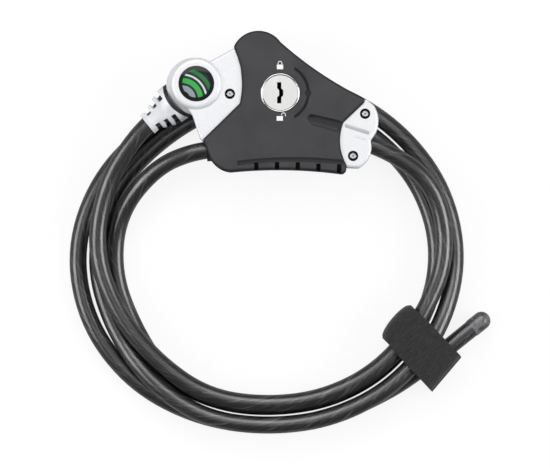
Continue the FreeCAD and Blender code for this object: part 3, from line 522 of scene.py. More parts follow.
def make_tongue():
    tongue = add_bar("cutter", (1, 1, 1))
    for corner in tongue.data.vertices:
        upper = corner.co.y > 0
        x, y = on_thumb_groove(TONGUE_RUN[corner.co.x > 0], TONGUE_SIDES[upper])
        drop = TONGUE_TOPS[upper] if corner.co.z > 0 else TONGUE_FOOT
        corner.co = (x * MM, y * MM, HEAD_TOP + drop * MM)
    return tongue


# Upright bars that reach in from the cover's edge, and stand out a little past its edge and face
def notch_cutter(reach, depth):
    bars = []
    size = (NOTCH_WIDTH, (reach + CUT_BEYOND) * MM, depth + CUT_BEYOND * MM)
    for i in range(NOTCH_COUNT):
        x = NOTCH_FIRST + i * NOTCH_PITCH
        y = bow(GRIP_EDGE, x) + reach / 2 - CUT_BEYOND / 2
        bars.append(add_bar("cutter", size, (x * MM, y * MM, HEAD_TOP + CUT_BEYOND * MM - size[2] / 2)))
        bpy.ops.object.transform_apply(location=True)
    for bar in bars:
        bar.select_set(True)
    bpy.ops.object.join()
    return take_new("cutter")


# %% Front cover with its grip
def make_grip_cover():
    shoulder = [on_thumb_groove(run, rise) for run, rise in THUMB_SHOULDER]
    cutters = [tube_cutter(valley_points(), VALLEY_TUBE, VALLEY_DEPTH),
               notch_cutter(NOTCH_REACH, NOTCH_DEPTH),
               notch_cutter(WALL_NOTCH_REACH, WALL_NOTCH_DEPTH),
               tube_cutter(shoulder, SHOULDER_TUBE, SHOULDER_DEPTH),
               tube_cutter(THUMB_LINE, LINE_TUBE, LINE_DEPTH)]
    tongue = make_tongue()
    cover = link_new("grip_cover", frame["nodes"]["front_cover"].data.copy())
    activate(cover)
    bpy.ops.object.mode_set(mode="EDIT")
    bpy.ops.mesh.select_all(action="SELECT")
    bpy.ops.mesh.remove_doubles(threshold=SAME_PLACE)
    carve(cover, "UNION", tongue)
    for cutter in cutters:
        carve(cover, "DIFFERENCE", cutter)
    settle(cover, 30)
    # Long thin triangles leave streaks on the flat face unless the larger faces lead the normals
    activate(cover)
    even = cover.modifiers.new("even", "WEIGHTED_NORMAL")
    even.keep_sharp = True
    even.weight = 100
    bpy.ops.object.modifier_apply(modifier=even.name)
    start_clean()
    return cover


cover = make_grip_cover()
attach(cover, "head")
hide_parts("front_cover")
print("cover faces", len(cover.data.polygons))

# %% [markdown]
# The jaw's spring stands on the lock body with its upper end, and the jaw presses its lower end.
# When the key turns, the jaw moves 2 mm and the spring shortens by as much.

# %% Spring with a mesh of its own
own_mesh(frame["nodes"]["jaw_spring"])

# %% [markdown]
# The cable is a steel rope with a smoky vinyl coat. It is one length, shown here as two visible
# cords: the first loop from the strain relief round to the outlet, and the coil from the inlet
# round to the capped free end. Loose turns aren't circles, so a turn follows an outline of twelve
# radii about the ring's centre. A lane is rows of an angle, how far inside that outline the cable
# lies, and how high. The outline is about 1% larger than the CAD coil's, because the coil lies
# further from the camera than the head. The rows at 479 and 502 degrees, and at 839 and 862, bring
# the turns together under the strain relief, so that no gap shows there.

# %% Sizes of the coil
CABLE_RADIUS = 4 * MM
RING_CENTRE = Vector((3.5, -71.1, 0)) * MM
# Heights of the cable's middle count from the turns on the floor, and the passage lies this high
PASSAGE_RISE = 16.3
CENTRE_ON_FLOOR = -PASSAGE_RISE * MM
TOP_LANE = 8.7
STRAP_LIFT = 2.4
ROUTE_STEP = 22.5
COIL_OUTLINE = [87.7, 85.9, 82.2, 84.2, 83.6, 85.3, 88.2, 86.1, 80.2, 77.3, 80.2, 84.8]
FIRST_LOOP_LANE = [
    (131.7, 1.0, PASSAGE_RISE),
    (150, 4.4, 12.7),
    (180, 10.0, TOP_LANE),
    (206, 15.0, TOP_LANE),
    (228, 14.8, TOP_LANE),
    (250, 10.4, TOP_LANE),
    (335, 10.6, TOP_LANE),
    (368, 4.2, TOP_LANE + 0.4),
    (384, 3.3, 13.5),
    (407.5, 12.7, PASSAGE_RISE),
]
COIL_LANE = [
    (119, 30.0, PASSAGE_RISE),
    (134, 22.3, 14.2),
    (142, 19.2, 11.2),
    (150, 16.9, 8.0),
    (164, 16.2, 3.3),
    (178, 17.4, 0.0),
    (205, 17.8, 0.0),
    (240, 8.6, 0.0),
    (345, 8.6, 0.0),
    (450, 8.7, 0.0),
    (479, 11.6, 2.6),
    (502, 11.3, 2.0),
    (520, 8.8, 0.0),
    (545, 9.2, 0.1),
    (560, 9.6, 0.3),
    (584, 5.8, 6.3),
    (603, 0.6, TOP_LANE),
    (690, 0.3, TOP_LANE),
    (722, 0.0, 0.0),
    (795, 0.0, 0.0),
    (839, 4.4, 0.0),
    (862, 3.2, 0.0),
    (884, 0.0, 0.0),
    (1031, 0.0, 0.0),
]
# Under the strap all turns lie higher, on its lower layer
STRAP_RISE = [(270, 0.0), (316, STRAP_LIFT), (343, STRAP_LIFT), (388, 0.0)]
TAIL = [(74.2, -123.4, STRAP_LIFT), (89.7, -111.0, STRAP_LIFT), (105.2, -98.6, 1.2)]
RELIEF_TIP = Vector((-51.47, -9.68, 0)) * MM
RELIEF_HEADING = 218.75
PASSAGE_IN = Vector((50.85, -18.64, 0)) * MM
PASSAGE_IN_HEADING = -10.95
PASSAGE_OUT = Vector((-24.2, -21.3, 0)) * MM
PASSAGE_OUT_HEADING = 183.05
HIDDEN_RUN = 5 * MM

# %% [markdown]
# `ease` draws a smooth curve through a few rows of (angle, value) with no waves between them. A
# quadratic spline cuts inside its control points, so the radius is made larger by what it loses.

# %% Lanes of the coil
def ease(rows, angle):
    rates = [(b[1] - a[1]) / (b[0] - a[0]) for a, b in zip(rows, rows[1:])]
    slopes = [rates[0]]
    for before, after in zip(rates, rates[1:]):
        slopes.append(2 * before * after / (before + after) if before * after > 0 else 0.0)
    slopes.append(rates[-1])
    if angle <= rows[0][0]:
        return rows[0][1]
    for i in range(len(rates)):
        low, high = rows[i], rows[i + 1]
        if angle <= high[0]:
            span = high[0] - low[0]
            t = (angle - low[0]) / span
            rise = (3 - 2 * t) * t * t
            pulls = t * (1 - t) * (1 - t) * slopes[i] + t * t * (t - 1) * slopes[i + 1]
            return low[1] + (high[1] - low[1]) * rise + span * pulls
    return rows[-1][1]


def outline_radius(angle):
    count = len(COIL_OUTLINE)
    place = (angle % 360.0) / 360.0 * count
    i = int(place)
    t = place - i
    a, b, c, d = [COIL_OUTLINE[(i + k) % count] for k in (-1, 0, 1, 2)]
    bend, sway = a - 2.5 * b + 2 * c - d / 2, 1.5 * (b - c) + (d - a) / 2
    return b + (c - a) / 2 * t + bend * t * t + sway * t ** 3


def direction(degrees):
    return Vector((math.cos(math.radians(degrees)), math.sin(math.radians(degrees)), 0))


def lane_point(lane, angle, step):
    turned = angle % 360.0
    turned += 360.0 if turned < STRAP_RISE[0][0] else 0.0
    inside = ease([(row[0], row[1]) for row in lane], angle)
    height = ease([(row[0], row[2]) for row in lane], angle) + ease(STRAP_RISE, turned)
    spline_loss = 0.75 + 0.25 * math.cos(math.radians(step))
    place = RING_CENTRE + direction(angle) * (outline_radius(angle) - inside) / spline_loss * MM
    return Vector((place.x, place.y, CENTRE_ON_FLOOR + height * MM))


def lane_route(lane):
    start, end = lane[0][0], lane[-1][0]
    steps = round((end - start) / ROUTE_STEP)
    step = (end - start) / steps
    return [lane_point(lane, start + step * i, step) for i in range(steps + 1)]


# %% Routes of the two cords
def first_loop_route():
    along = direction(RELIEF_HEADING)
    outward = direction(PASSAGE_IN_HEADING)
    lead_in = [RELIEF_TIP - along * HIDDEN_RUN, RELIEF_TIP + along * HIDDEN_RUN]
    lead_out = [PASSAGE_IN + outward * HIDDEN_RUN, PASSAGE_IN - outward * HIDDEN_RUN]
    return lead_in + lane_route(FIRST_LOOP_LANE)[1:-1] + lead_out


def coil_route():
    outward = direction(PASSAGE_OUT_HEADING)
    lead_in = [PASSAGE_OUT - outward * HIDDEN_RUN, PASSAGE_OUT + outward * HIDDEN_RUN]
    tail = [Vector((x * MM, y * MM, CENTRE_ON_FLOOR + height * MM)) for x, y, height in TAIL]
    return lead_in + lane_route(COIL_LANE)[1:] + tail


# The smooth line through a route, as points that a tube can follow
def smooth_line(name, route):
    curve = bpy.data.curves.new(name, "CURVE")
    curve.dimensions = "3D"
    curve.resolution_u = 8
    spline = add_spline(curve, "NURBS", route)
    spline.order_u = 3
    spline.use_endpoint_u = True
    holder = link_new(name, curve)
    line = bpy.data.meshes.new_from_object(holder)
    places = [v.co.copy() for v in line.vertices]
    bpy.data.objects.remove(holder)
    bpy.data.meshes.remove(line)
    return places


def line_length(line):
    return sum((b - a).length for a, b in zip(line, line[1:]))


# %% [markdown]
# The cord's mesh is a ring of points carried along the line without twist. Its UV map gives the
# material two real sizes in metres: how far along the cable a point is, and how far round it. The
# free end is cut to a short cone, so that it stays inside its round cap, and where the cable lies on
# the floor its soft coat is pressed flat, as in the CAD model.

# %% Tube along a line
TUBE_SIDES = 28
CUT_END_RADIUS = 2.2 * MM


# A face that closes the ring ends at a full turn, and not back at 0
def write_uv(mesh, uv_rows, radius):
    uv_map = mesh.uv_layers.new(name="UVMap")
    round_length = 2 * math.pi * radius
    for polygon in mesh.polygons:
        corners = [divmod(vertex, TUBE_SIDES) for vertex in polygon.vertices]
        closes = any(k == TUBE_SIDES - 1 for _, k in corners)
        for loop, (ring, k) in zip(polygon.loop_indices, corners):
            turn = TUBE_SIDES if k == 0 and closes else k
            uv_map.data[loop].uv = (uv_rows[ring], turn / TUBE_SIDES * round_length)
        polygon.use_smooth = len(corners) == 4


def cord_tube(name, line, radius, end_radius):
    points, faces, uv_rows = [], [], []
    turns = [2 * math.pi * k / TUBE_SIDES for k in range(TUBE_SIDES)]
    side = Vector((0, 0, 1))
    travelled = 0.0
    for i, place in enumerate(line):
        before, after = line[max(i - 1, 0)], line[min(i + 1, len(line) - 1)]
        heading = (after - before).normalized()
        side = (side - heading * side.dot(heading)).normalized()
        other = heading.cross(side)
        here = end_radius if i == len(line) - 1 else radius
        ring = [place + (side * math.cos(t) + other * math.sin(t)) * here for t in turns]
        points += [Vector((p.x, p.y, max(p.z, FLOOR))) for p in ring]
        travelled += (place - before).length
        uv_rows.append(travelled)
    last = (len(line) - 1) * TUBE_SIDES
    for start in range(0, last, TUBE_SIDES):
        end = start + TUBE_SIDES
        for k in range(TUBE_SIDES):
            n = (k + 1) % TUBE_SIDES
            faces.append((start + k, start + n, end + n, end + k))
    faces.append(tuple(reversed(range(TUBE_SIDES))))
    faces.append(tuple(range(last, last + TUBE_SIDES)))
    mesh = bpy.data.meshes.new(name)
    mesh.from_pydata(points, [], faces)
    write_uv(mesh, uv_rows, radius)
    return link_new(name, mesh)


# %% The two cords
first_line = smooth_line("first_loop_line", first_loop_route())
coil_line = smooth_line("coil_line", coil_route())
first_loop = cord_tube("cable_loop_to_outlet", first_line, CABLE_RADIUS, CABLE_RADIUS)
coil = cord_tube("cable_coil_and_tail", coil_line, CABLE_RADIUS, CUT_END_RADIUS)
print("first loop", round(line_length(first_line), 4), "coil", round(line_length(coil_line), 4))

# %% [markdown]
# The vinyl coat is black smoke over bright wires. It is so dark that the wires show only where a
# highlight falls: there they break the light into fine slanted streaks. So the colour stays nearly
# black, the wires are a shallow relief under a clear coat, and a few crowns come up as grey. They
# are drawn in the cable's own UV map, where a lay of one turn in about 60 mm leans them.

# %% Smoky vinyl over steel rope
ROPE_LAY = 60 * MM
WIRE_WIDTH = 1.1 * MM
WIRE_STRETCH = 15 * MM
WIRE_RELIEF = 0.09 * MM


def coated_rope():
    material, tree, shader = start_material("smoky_vinyl_over_steel_rope", IOR=1.52, Specular_IOR_Level=0.75,
                                            Coat_Weight=0.9, Coat_Roughness=0.22)
    along_and_round = add_node(tree, "TexCoord").outputs["UV"]
    lean = math.atan2(2 * math.pi * CABLE_RADIUS, ROPE_LAY)
    leaning = add_node(tree, "Mapping", {"Rotation": (0, 0, lean)}, {"Vector": along_and_round})
    stretched = add_node(tree, "Mapping", {"Scale": (1 / WIRE_STRETCH, 1 / WIRE_WIDTH, 1)},
                         {"Vector": leaning.outputs["Vector"]})
    wires = add_node(tree, "TexNoise", {"Scale": 1.0, "Detail": 3.0, "Roughness": 0.5},
                     {"Vector": stretched.outputs["Vector"]}).outputs["Fac"]
    drive(tree, shader, wires, Base_Color=[(0.42, "#0f0f10"), (0.56, "#202022"), (0.72, "#4c4c4f")],
          Roughness=[(0.35, 0.42), (0.7, 0.3)])
    add_node(tree, "Bump", {"Distance": WIRE_RELIEF, "Strength": 1.0}, {"Height": wires},
             {"Normal": shader.inputs["Normal"]})
    return material


rope_finish = coated_rope()
for cord in (first_loop, coil):
    cord.data.materials.append(rope_finish)
    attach(cord, "head")
frame["nodes"]["cable_through_lock"].data.materials[0] = rope_finish
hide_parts("cable_first_loop")
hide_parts("cable_coil")

# %% [markdown]
# The cap on the free end is a short sleeve of smoky vinyl, dipped over the cut rope, with a round
# end. It starts as a cylinder: its end face is inset and pushed out in steps that follow a quarter
# circle, so that it closes like a fingertip. The vinyl is thin and glossy, and the cable under it
# shows as soft grey clouds.

# %% Vinyl cap
CAP_RADIUS = 4.22 * MM
CAP_LENGTH = 10 * MM
# How much of the cable lies in the cap
CAP_OVERLAP = 8.6 * MM
CAP_ROUND = 4.1 * MM
CAP_STEPS = 9
VINYL_CLOUD = 3 * MM


def make_cap():
    heading = (coil_line[-1] - coil_line[-3]).normalized()
    cap = add_cylinder("free_end_cap", 40, CAP_RADIUS, CAP_LENGTH - CAP_ROUND)
    choose(cap, looks_up)
    inset_before = rise_before = 0.0
    for i in range(1, CAP_STEPS + 1):
        angle = math.radians(90 * i / CAP_STEPS)
        inset = CAP_ROUND * (1 - math.cos(angle))
        rise = CAP_ROUND * math.sin(angle)
        bpy.ops.mesh.inset(thickness=inset - inset_before, depth=rise - rise_before)
        inset_before, rise_before = inset, rise
    bpy.ops.object.mode_set(mode="OBJECT")
    middle = coil_line[-1] + heading * (CAP_LENGTH / 2 - CAP_OVERLAP - CAP_ROUND / 2)
    cap.matrix_world = Matrix.Translation(middle) @ heading.to_track_quat("Z", "Y").to_matrix().to_4x4()
    return settle(cap, 50)


def dipped_vinyl():
    material, tree, shader = start_material("smoky_dipped_vinyl", IOR=1.52, Coat_Weight=0.5,
                                            Coat_Roughness=0.18)
    place = add_node(tree, "TexCoord").outputs["Object"]
    clouds = add_node(tree, "TexNoise", {"Scale": 1 / VINYL_CLOUD, "Detail": 3.0}, {"Vector": place})
    drive(tree, shader, clouds.outputs["Fac"], Base_Color=[(0.35, "#3a3a3c"), (0.65, "#646467")],
          Roughness=[(0.3, 0.32), (0.7, 0.44)])
    return material


cap = make_cap()
cap.data.materials.append(dipped_vinyl())
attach(cap, "head")
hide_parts("cable_end_cap")
print("cap tip", [round(v, 4) for v in coil_line[-1]])

# %% [markdown]
# The strap is hook-and-loop tape, 21 mm wide. It starts as the short edge of a plane, which is
# extruded round the bundle, step by step along its section, then given its thickness. Tape that is
# pulled round a bundle doesn't stay square: its free fold swells and rounds off past the cable, and
# the whole band slants a little, so the points are moved by two smooth rules.

# %% Sizes of the strap
STRAP_CENTRE = Vector((75.4, -113.1, 0)) * MM
STRAP_HEADING = 49.7
STRAP_WIDTH = 21 * MM
STRAP_THICKNESS = 1.6 * MM
STRAP_SIDES = (-15.6 * MM, 13.8 * MM)
STRAP_OVER_CABLE = 4.35
STRAP_INNER_TOP = CENTRE_ON_FLOOR + (STRAP_LIFT + TOP_LANE + STRAP_OVER_CABLE) * MM
STRAP_CORNER = 4.2 * MM
STRAP_SLANT = 0.11
STRAP_EDGE = 0.4 * MM
# Both ends of the tape lie on each other in a tab: how far it reaches past the band, where its lower
# layer starts, and how the upper layer bends down to it and ends
TAB_REACH = 2.4 * MM
TAB_START = 4 * MM
TAB_BEND = [(0.4 * MM, 3.6 * MM), (1.4 * MM, 2.1 * MM)]
TAB_END = (1.2 * MM, 0.6 * MM)
# The free fold on the other side: where it starts, how far it swells, and how much its edges draw in
LOBE_START = -8 * MM
LOBE_REACH = 2.2 * MM
LOBE_NARROWING = 0.08
# The pressed tape is a little thinner than its CAD solid, so that it stays inside it
PRESSED_SHARE = 0.94
CORNER_STEPS = 6
WIDTH_CUTS = 14
STRAIGHT_STEPS = 8


# %% Section of the strap
def corner(x, z, start_degrees):
    turns = [math.radians(start_degrees - 90 * i / CORNER_STEPS) for i in range(CORNER_STEPS + 1)]
    return [(x + STRAP_CORNER * math.cos(t), z + STRAP_CORNER * math.sin(t)) for t in turns]


def spread(start, end):
    (x, z), run, rise = start, end[0] - start[0], end[1] - start[1]
    return [(x + run * i / STRAIGHT_STEPS, z + rise * i / STRAIGHT_STEPS) for i in range(1, STRAIGHT_STEPS)]


def strap_section():
    half = STRAP_THICKNESS / 2
    left, right = STRAP_SIDES[0] - half, STRAP_SIDES[1] + half
    low, high = STRAP_BOTTOM + half, STRAP_INNER_TOP + half
    r = STRAP_CORNER
    out = right + TAB_REACH
    line = [(out, low), (right - TAB_START, low)]
    line += spread(line[-1], (left + r, low)) + corner(left + r, low + r, 270)
    line += corner(left + r, high - r, 180)
    line += spread(line[-1], (right - r, high)) + corner(right - r, high - r, 90)
    line += [(right, (low + high) / 2)] + [(right + x, low + z) for x, z in TAB_BEND]
    return line + [(out - x, low + STRAP_THICKNESS) for x in TAB_END]


# The free fold reaches past the cable in the middle of the tape's width, and less at its edges
def soften_strap(point):
    across = point.y / (STRAP_WIDTH / 2)
    moved = point.copy()
    if point.x < LOBE_START:
        share = (LOBE_START - point.x) / (LOBE_START - STRAP_SIDES[0])
        moved.x -= math.sqrt(max(0.0, 1 - across * across)) * LOBE_REACH * share
        moved.y *= 1 - LOBE_NARROWING * share
    moved.y -= STRAP_SLANT * point.x
    return moved


# %% Strap round the coil
def make_strap():
    start_clean()
    section = strap_section()
    bpy.ops.mesh.primitive_plane_add(size=1)
    strap = take_new("hook_and_loop_strap")
    bpy.ops.object.mode_set(mode="EDIT")
    bpy.ops.mesh.delete(type="VERT")
    bpy.ops.object.mode_set(mode="OBJECT")
    strap.data.vertices.add(2)
    for vertex, y in zip(strap.data.vertices, (-STRAP_WIDTH / 2, STRAP_WIDTH / 2)):
        vertex.co = (section[0][0], y, section[0][1])
    strap.data.edges.add(1)
    strap.data.edges[0].vertices = (0, 1)
    bpy.ops.object.mode_set(mode="EDIT")
    bpy.ops.mesh.select_mode(type="EDGE")
    bpy.ops.mesh.select_all(action="SELECT")
    bpy.ops.mesh.subdivide(number_cuts=WIDTH_CUTS)
    for here, there in zip(section, section[1:]):
        shift = (there[0] - here[0], 0, there[1] - here[1])
        bpy.ops.mesh.extrude_region_move(TRANSFORM_OT_translate={"value": shift})
    bpy.ops.object.mode_set(mode="OBJECT")
    for vertex in strap.data.vertices:
        vertex.co = soften_strap(vertex.co)
    wall = strap.modifiers.new("wall", "SOLIDIFY")
    wall.thickness = STRAP_THICKNESS * PRESSED_SHARE
    wall.offset = 0
    soften_edges(strap, STRAP_EDGE, degrees=50)
    strap.rotation_euler = (0, 0, math.radians(STRAP_HEADING - 90))
    strap.location = STRAP_CENTRE
    return settle(strap, 50)


# %% [markdown]
# Hook-and-loop tape is a felt of tiny nylon loops. Each loop is about 0.7 mm wide, and the felt is
# rubbed flat in short streaks along the tape, so its relief is made of cells and of drawn-out
# noise. The fibres scatter light, which a little sheen and a high roughness give.

# %% Hook-and-loop tape
LOOP_WIDTH = 0.7 * MM
RUBBED_STREAK = (0.9 * MM, 3.5 * MM, 3 * MM)
LOOP_HEIGHT = 0.3 * MM


def hook_and_loop_tape():
    material, tree, shader = start_material("hook_and_loop_tape", IOR=1.5, Sheen_Weight=0.12,
                                            Sheen_Roughness=0.6)
    place = add_node(tree, "TexCoord").outputs["Object"]
    turned = add_node(tree, "Mapping", {"Rotation": (0, 0, math.radians(90 - STRAP_HEADING))},
                      {"Vector": place}).outputs["Vector"]
    loops = add_node(tree, "TexVoronoi", {"Scale": 1 / LOOP_WIDTH, "Randomness": 1.0},
                     {"Vector": turned}).outputs["Distance"]
    rubbed = add_node(tree, "Mapping", {"Scale": [1 / size for size in RUBBED_STREAK]}, {"Vector": turned})
    rows = add_node(tree, "TexNoise", {"Scale": 1.0, "Detail": 4.0, "Distortion": 0.8},
                    {"Vector": rubbed.outputs["Vector"]}).outputs["Fac"]
    both = add_node(tree, "Math", {"operation": "ADD"}, {0: loops, 1: rows})
    add_node(tree, "Bump", {"Distance": LOOP_HEIGHT, "Strength": 1.0}, {"Height": both.outputs["Value"]},
             {"Normal": shader.inputs["Normal"]})
    drive(tree, shader, rows, Base_Color=[(0.35, "#0f0f10"), (0.65, "#202021")])
    drive(tree, shader, loops, Roughness=[(0.0, 0.85), (1.0, 1.0)])
    return material


strap = make_strap()
strap.data.materials.append(hook_and_loop_tape())
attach(strap, "head")
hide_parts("strap")
print("strap faces", len(strap.data.polygons))

# %% [markdown]
# The strain relief lets the cable bend little by little where it leaves the boss. It is a tapered
# boot of soft grey rubber with three slots round each side. The slots' floors are black: the cable's
# black sleeve shows in them, and the black is also painted shade inside the slots. The boss flares
# towards the boot, and both ends of the black collar between them follow the boss. A cylinder is cut
# into rings that are scaled to the taper, the slots are inset into its sides, and a boolean with a
# cylinder round the boss hollows its end.

# %% Sizes of the flare, the collar and the boot
BOSS_WALL = 11.9 * MM
FLARE_RADIUS = 12.9 * MM
FLARE_SHIFT = 1.3 * MM
FLARE_RIM_HEIGHT = 6.2 * MM
FLARE_SLOPE = (2.9 * MM, 3.6 * MM)
COLLAR_RADIUS = 9.1 * MM
COLLAR_ENDS = (11.0 * MM, 17.0 * MM)
BOOT_HOLLOW = 15.6 * MM
# Each ring is a distance from the boss's centre and a radius, and each slot runs between two
# distances. The slots leave the front bare, up to an angle off it.
BOOT_RINGS = [(12.4, 9.3), (16.3, 9.0), (18.8, 8.6), (20.4, 8.3), (22.9, 7.7), (24.4, 7.3), (26.8, 6.5),
              (29.2, 5.3)]
SLOT_ROWS = [(16.3, 18.8), (20.4, 22.9), (24.4, 26.8)]
SLOT_FROM = 28
SLOT_DRAFT = 0.12 * MM
SLOT_DEPTH = 2.0 * MM
FLARE_SOFTNESS = 0.8 * MM
BOOT_SOFTNESS = 0.15 * MM
FITTING_GAP = 0.02 * MM
BEYOND = 60 * MM


# %% Flare and collar
def along_relief(piece):
    axis = direction(RELIEF_HEADING)
    up = Vector((0, 0, 1))
    turn = Matrix((up, axis.cross(up), axis)).transposed().to_4x4()
    piece.matrix_world = Matrix.Translation((BOSS.x, BOSS.y, 0)) @ turn


def round_the_boss(name, radius, depth, shift=0.0):
    place = BOSS + direction(RELIEF_HEADING) * shift
    return add_cylinder(name, 160, radius, depth, (place.x, place.y, 0))


def make_flare():
    wall = round_the_boss("cutter", BOSS_WALL, BEYOND)
    flare = round_the_boss("boss_flare", FLARE_RADIUS, 2 * FLARE_RIM_HEIGHT, FLARE_SHIFT)
    choose(flare, lambda face: abs(face.normal.z) > FACING)
    bpy.ops.mesh.inset(thickness=FLARE_SLOPE[0], depth=FLARE_SLOPE[1])
    soften_edges(flare, FLARE_SOFTNESS, 4)
    carve(flare, "DIFFERENCE", wall)
    return settle(flare, 40)


def make_collar():
    reach = round_the_boss("cutter", BOOT_HOLLOW - FITTING_GAP, BEYOND)
    room = round_the_boss("cutter", FLARE_RADIUS, BEYOND, FLARE_SHIFT)
    low, high = COLLAR_ENDS
    collar = add_cylinder("black_collar", 96, COLLAR_RADIUS, high - low, (0, 0, (low + high) / 2))
    bpy.ops.object.transform_apply(location=True)
    along_relief(collar)
    carve(collar, "INTERSECT", reach)
    carve(collar, "DIFFERENCE", room)
    return settle(collar, 40)


# %% Boot with its slots
def is_slot(face):
    middle = face.calc_center_median()
    from_front = math.degrees(math.atan2(abs(middle.y), abs(middle.x)))
    in_row = any(low * MM < middle.z < high * MM for low, high in SLOT_ROWS)
    return in_row and from_front > SLOT_FROM


def make_boot():
    hollow = round_the_boss("cutter", BOOT_HOLLOW, BEYOND)
    (start, root), (end, tip) = BOOT_RINGS[0], BOOT_RINGS[-1]
    middle = (0, 0, (start + end) / 2 * MM)
    boot = add_cylinder("strain_relief_boot", 60, root * MM, (end - start) * MM, middle)
    bpy.ops.object.transform_apply(location=True)
    bpy.ops.object.mode_set(mode="EDIT")
    for level, radius in BOOT_RINGS[1:-1]:
        bpy.ops.mesh.select_all(action="SELECT")
        bpy.ops.mesh.bisect(plane_co=(0, 0, level * MM), plane_no=(0, 0, 1))
        bpy.ops.transform.resize(value=(radius / root, radius / root, 1), center_override=(0, 0, level * MM))
    choose(boot, looks_up)
    bpy.ops.transform.resize(value=(tip / root, tip / root, 1), center_override=(0, 0, end * MM))
    choose(boot, is_slot)
    bpy.ops.mesh.inset(thickness=SLOT_DRAFT, depth=-SLOT_DEPTH)
    # The slots' floors are still selected, and they show the cable's black sleeve and painted shade
    mesh = bmesh.from_edit_mesh(boot.data)
    for face in mesh.faces:
        face.material_index = int(face.select)
    bmesh.update_edit_mesh(boot.data)
    bpy.ops.object.mode_set(mode="OBJECT")
    along_relief(boot)
    soften_edges(boot, BOOT_SOFTNESS)
    carve(boot, "DIFFERENCE", hollow)
    boot.data.materials.append(grey_rubber)
    boot.data.materials.append(dark_rubber)
    return settle(boot, 35)


# %% Put them on the head
flare = make_flare()
flare.data.materials.append(lacquer)
collar = make_collar()
collar.data.materials.append(dark_rubber)
boot = make_boot()
for piece, slot in ((flare, "casting"), (collar, "dark_rubber"), (boot, "relief")):
    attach(piece, "head")
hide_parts("relief_collar")
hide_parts("strain_relief")
for piece in (boot, collar, flare):
    print(piece.name, "faces", len(piece.data.polygons))

# %% [markdown]
# The badge is a printed disc under a dome of clear resin. A cylinder's top face is inset and raised
# three times, which makes the dome, and its material draws a generic print of concentric arcs.

# %% Dome of the badge
BADGE_RADIUS = 8.05 * MM
BADGE_EDGE_HEIGHT = 0.9 * MM
DOME_STEPS = [(1.2 * MM, 0.28 * MM), (1.8 * MM, 0.22 * MM), (2.4 * MM, 0.1 * MM)]


def make_badge():
    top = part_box("badge")[1][2]
    middle = (BOSS.x, BOSS.y, top - BADGE_EDGE_HEIGHT / 2)
    badge = add_cylinder("domed_badge", 96, BADGE_RADIUS, BADGE_EDGE_HEIGHT, middle)
    choose(badge, looks_up)
    for inward, upward in DOME_STEPS:
        bpy.ops.mesh.inset(thickness=inward, depth=upward)
    return settle(badge, 60)


# %% Print under clear resin
# Places are counted from the badge's centre, and a band starts at a share of the arcs' reach
ARCS_CENTRE = (-6.5, -7.0, 0)
ARCS_REACH = 18.0
RIM_FROM = 6.4
DARK_INK = "#1c2226"
ARC_BANDS = [(0.0, DARK_INK), (0.2, "#7c868b"), (0.34, DARK_INK), (0.4, "#2f9440"), (0.53, "#14291a"),
             (0.59, "#b4bcbf"), (0.64, DARK_INK), (0.7, "#1f6430"), (0.8, DARK_INK)]


def printed_resin():
    material, tree, shader = start_material("print_under_clear_resin", Roughness=0.45, IOR=1.5,
                                            Specular_IOR_Level=0.1, Coat_Weight=0.4, Coat_Roughness=0.06)
    place = add_node(tree, "TexCoord").outputs["Object"]
    in_mm = {"Location": (-BOSS.x / MM, -BOSS.y / MM, 0), "Scale": (1 / MM, 1 / MM, 0)}
    from_centre = add_node(tree, "Mapping", in_mm, {"Vector": place}).outputs["Vector"]
    from_corner = add_node(tree, "VectorMath", {"operation": "SUBTRACT", 1: ARCS_CENTRE}, {0: from_centre})
    sweep = add_node(tree, "VectorMath", {"operation": "LENGTH"}, {0: from_corner.outputs["Vector"]})
    share = add_node(tree, "Math", {"operation": "DIVIDE", 1: ARCS_REACH}, {0: sweep.outputs["Value"]})
    arcs = add_node(tree, "ValToRGB", {"CONSTANT": ARC_BANDS}, {"Fac": share.outputs["Value"]})
    away = add_node(tree, "VectorMath", {"operation": "LENGTH"}, {0: from_centre})
    on_rim = add_node(tree, "Math", {"operation": "GREATER_THAN", 1: RIM_FROM}, {0: away.outputs["Value"]})
    add_node(tree, "Mix", {"data_type": "RGBA", 7: "#15181a"},
             {0: on_rim.outputs["Value"], 6: arcs.outputs["Color"]}, {2: shader.inputs["Base Color"]})
    return material


badge = make_badge()
badge.data.materials.append(printed_resin())
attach(badge, "head")
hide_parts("badge")
print("badge faces", len(badge.data.polygons))

# %% [markdown]
# The casting screws are tamper-resistant: a bright button head with a small pin hole stands in a
# counterbore. A cylinder's top face is inset and pushed down for the counterbore, inset and raised
# again for the button, and once more for the hole. Every face off the button's top, which is the
# rim, the counterbore and the hole, is painted near black as painted shade, and the button takes the
# plated steel.

# %% Casting screws
SCREW_RADIUS = 2.2 * MM
SCREW_HEIGHT = 1.6 * MM
RIM = 0.12 * MM
BUTTON_RADIUS = 1.45 * MM
BUTTON_EDGE = 0.3 * MM
BUTTON_RISE = 0.24 * MM
HOLE_RADIUS = 0.34 * MM
COUNTERBORE = 0.9 * MM
WALL_MARGIN = 0.017 * MM
CASTING_SCREWS = ("anchor_screw", "outlet_screw_1", "outlet_screw_2")


def shift_up(height):
    bpy.ops.mesh.extrude_region_move(TRANSFORM_OT_translate={"value": (0, 0, height)})


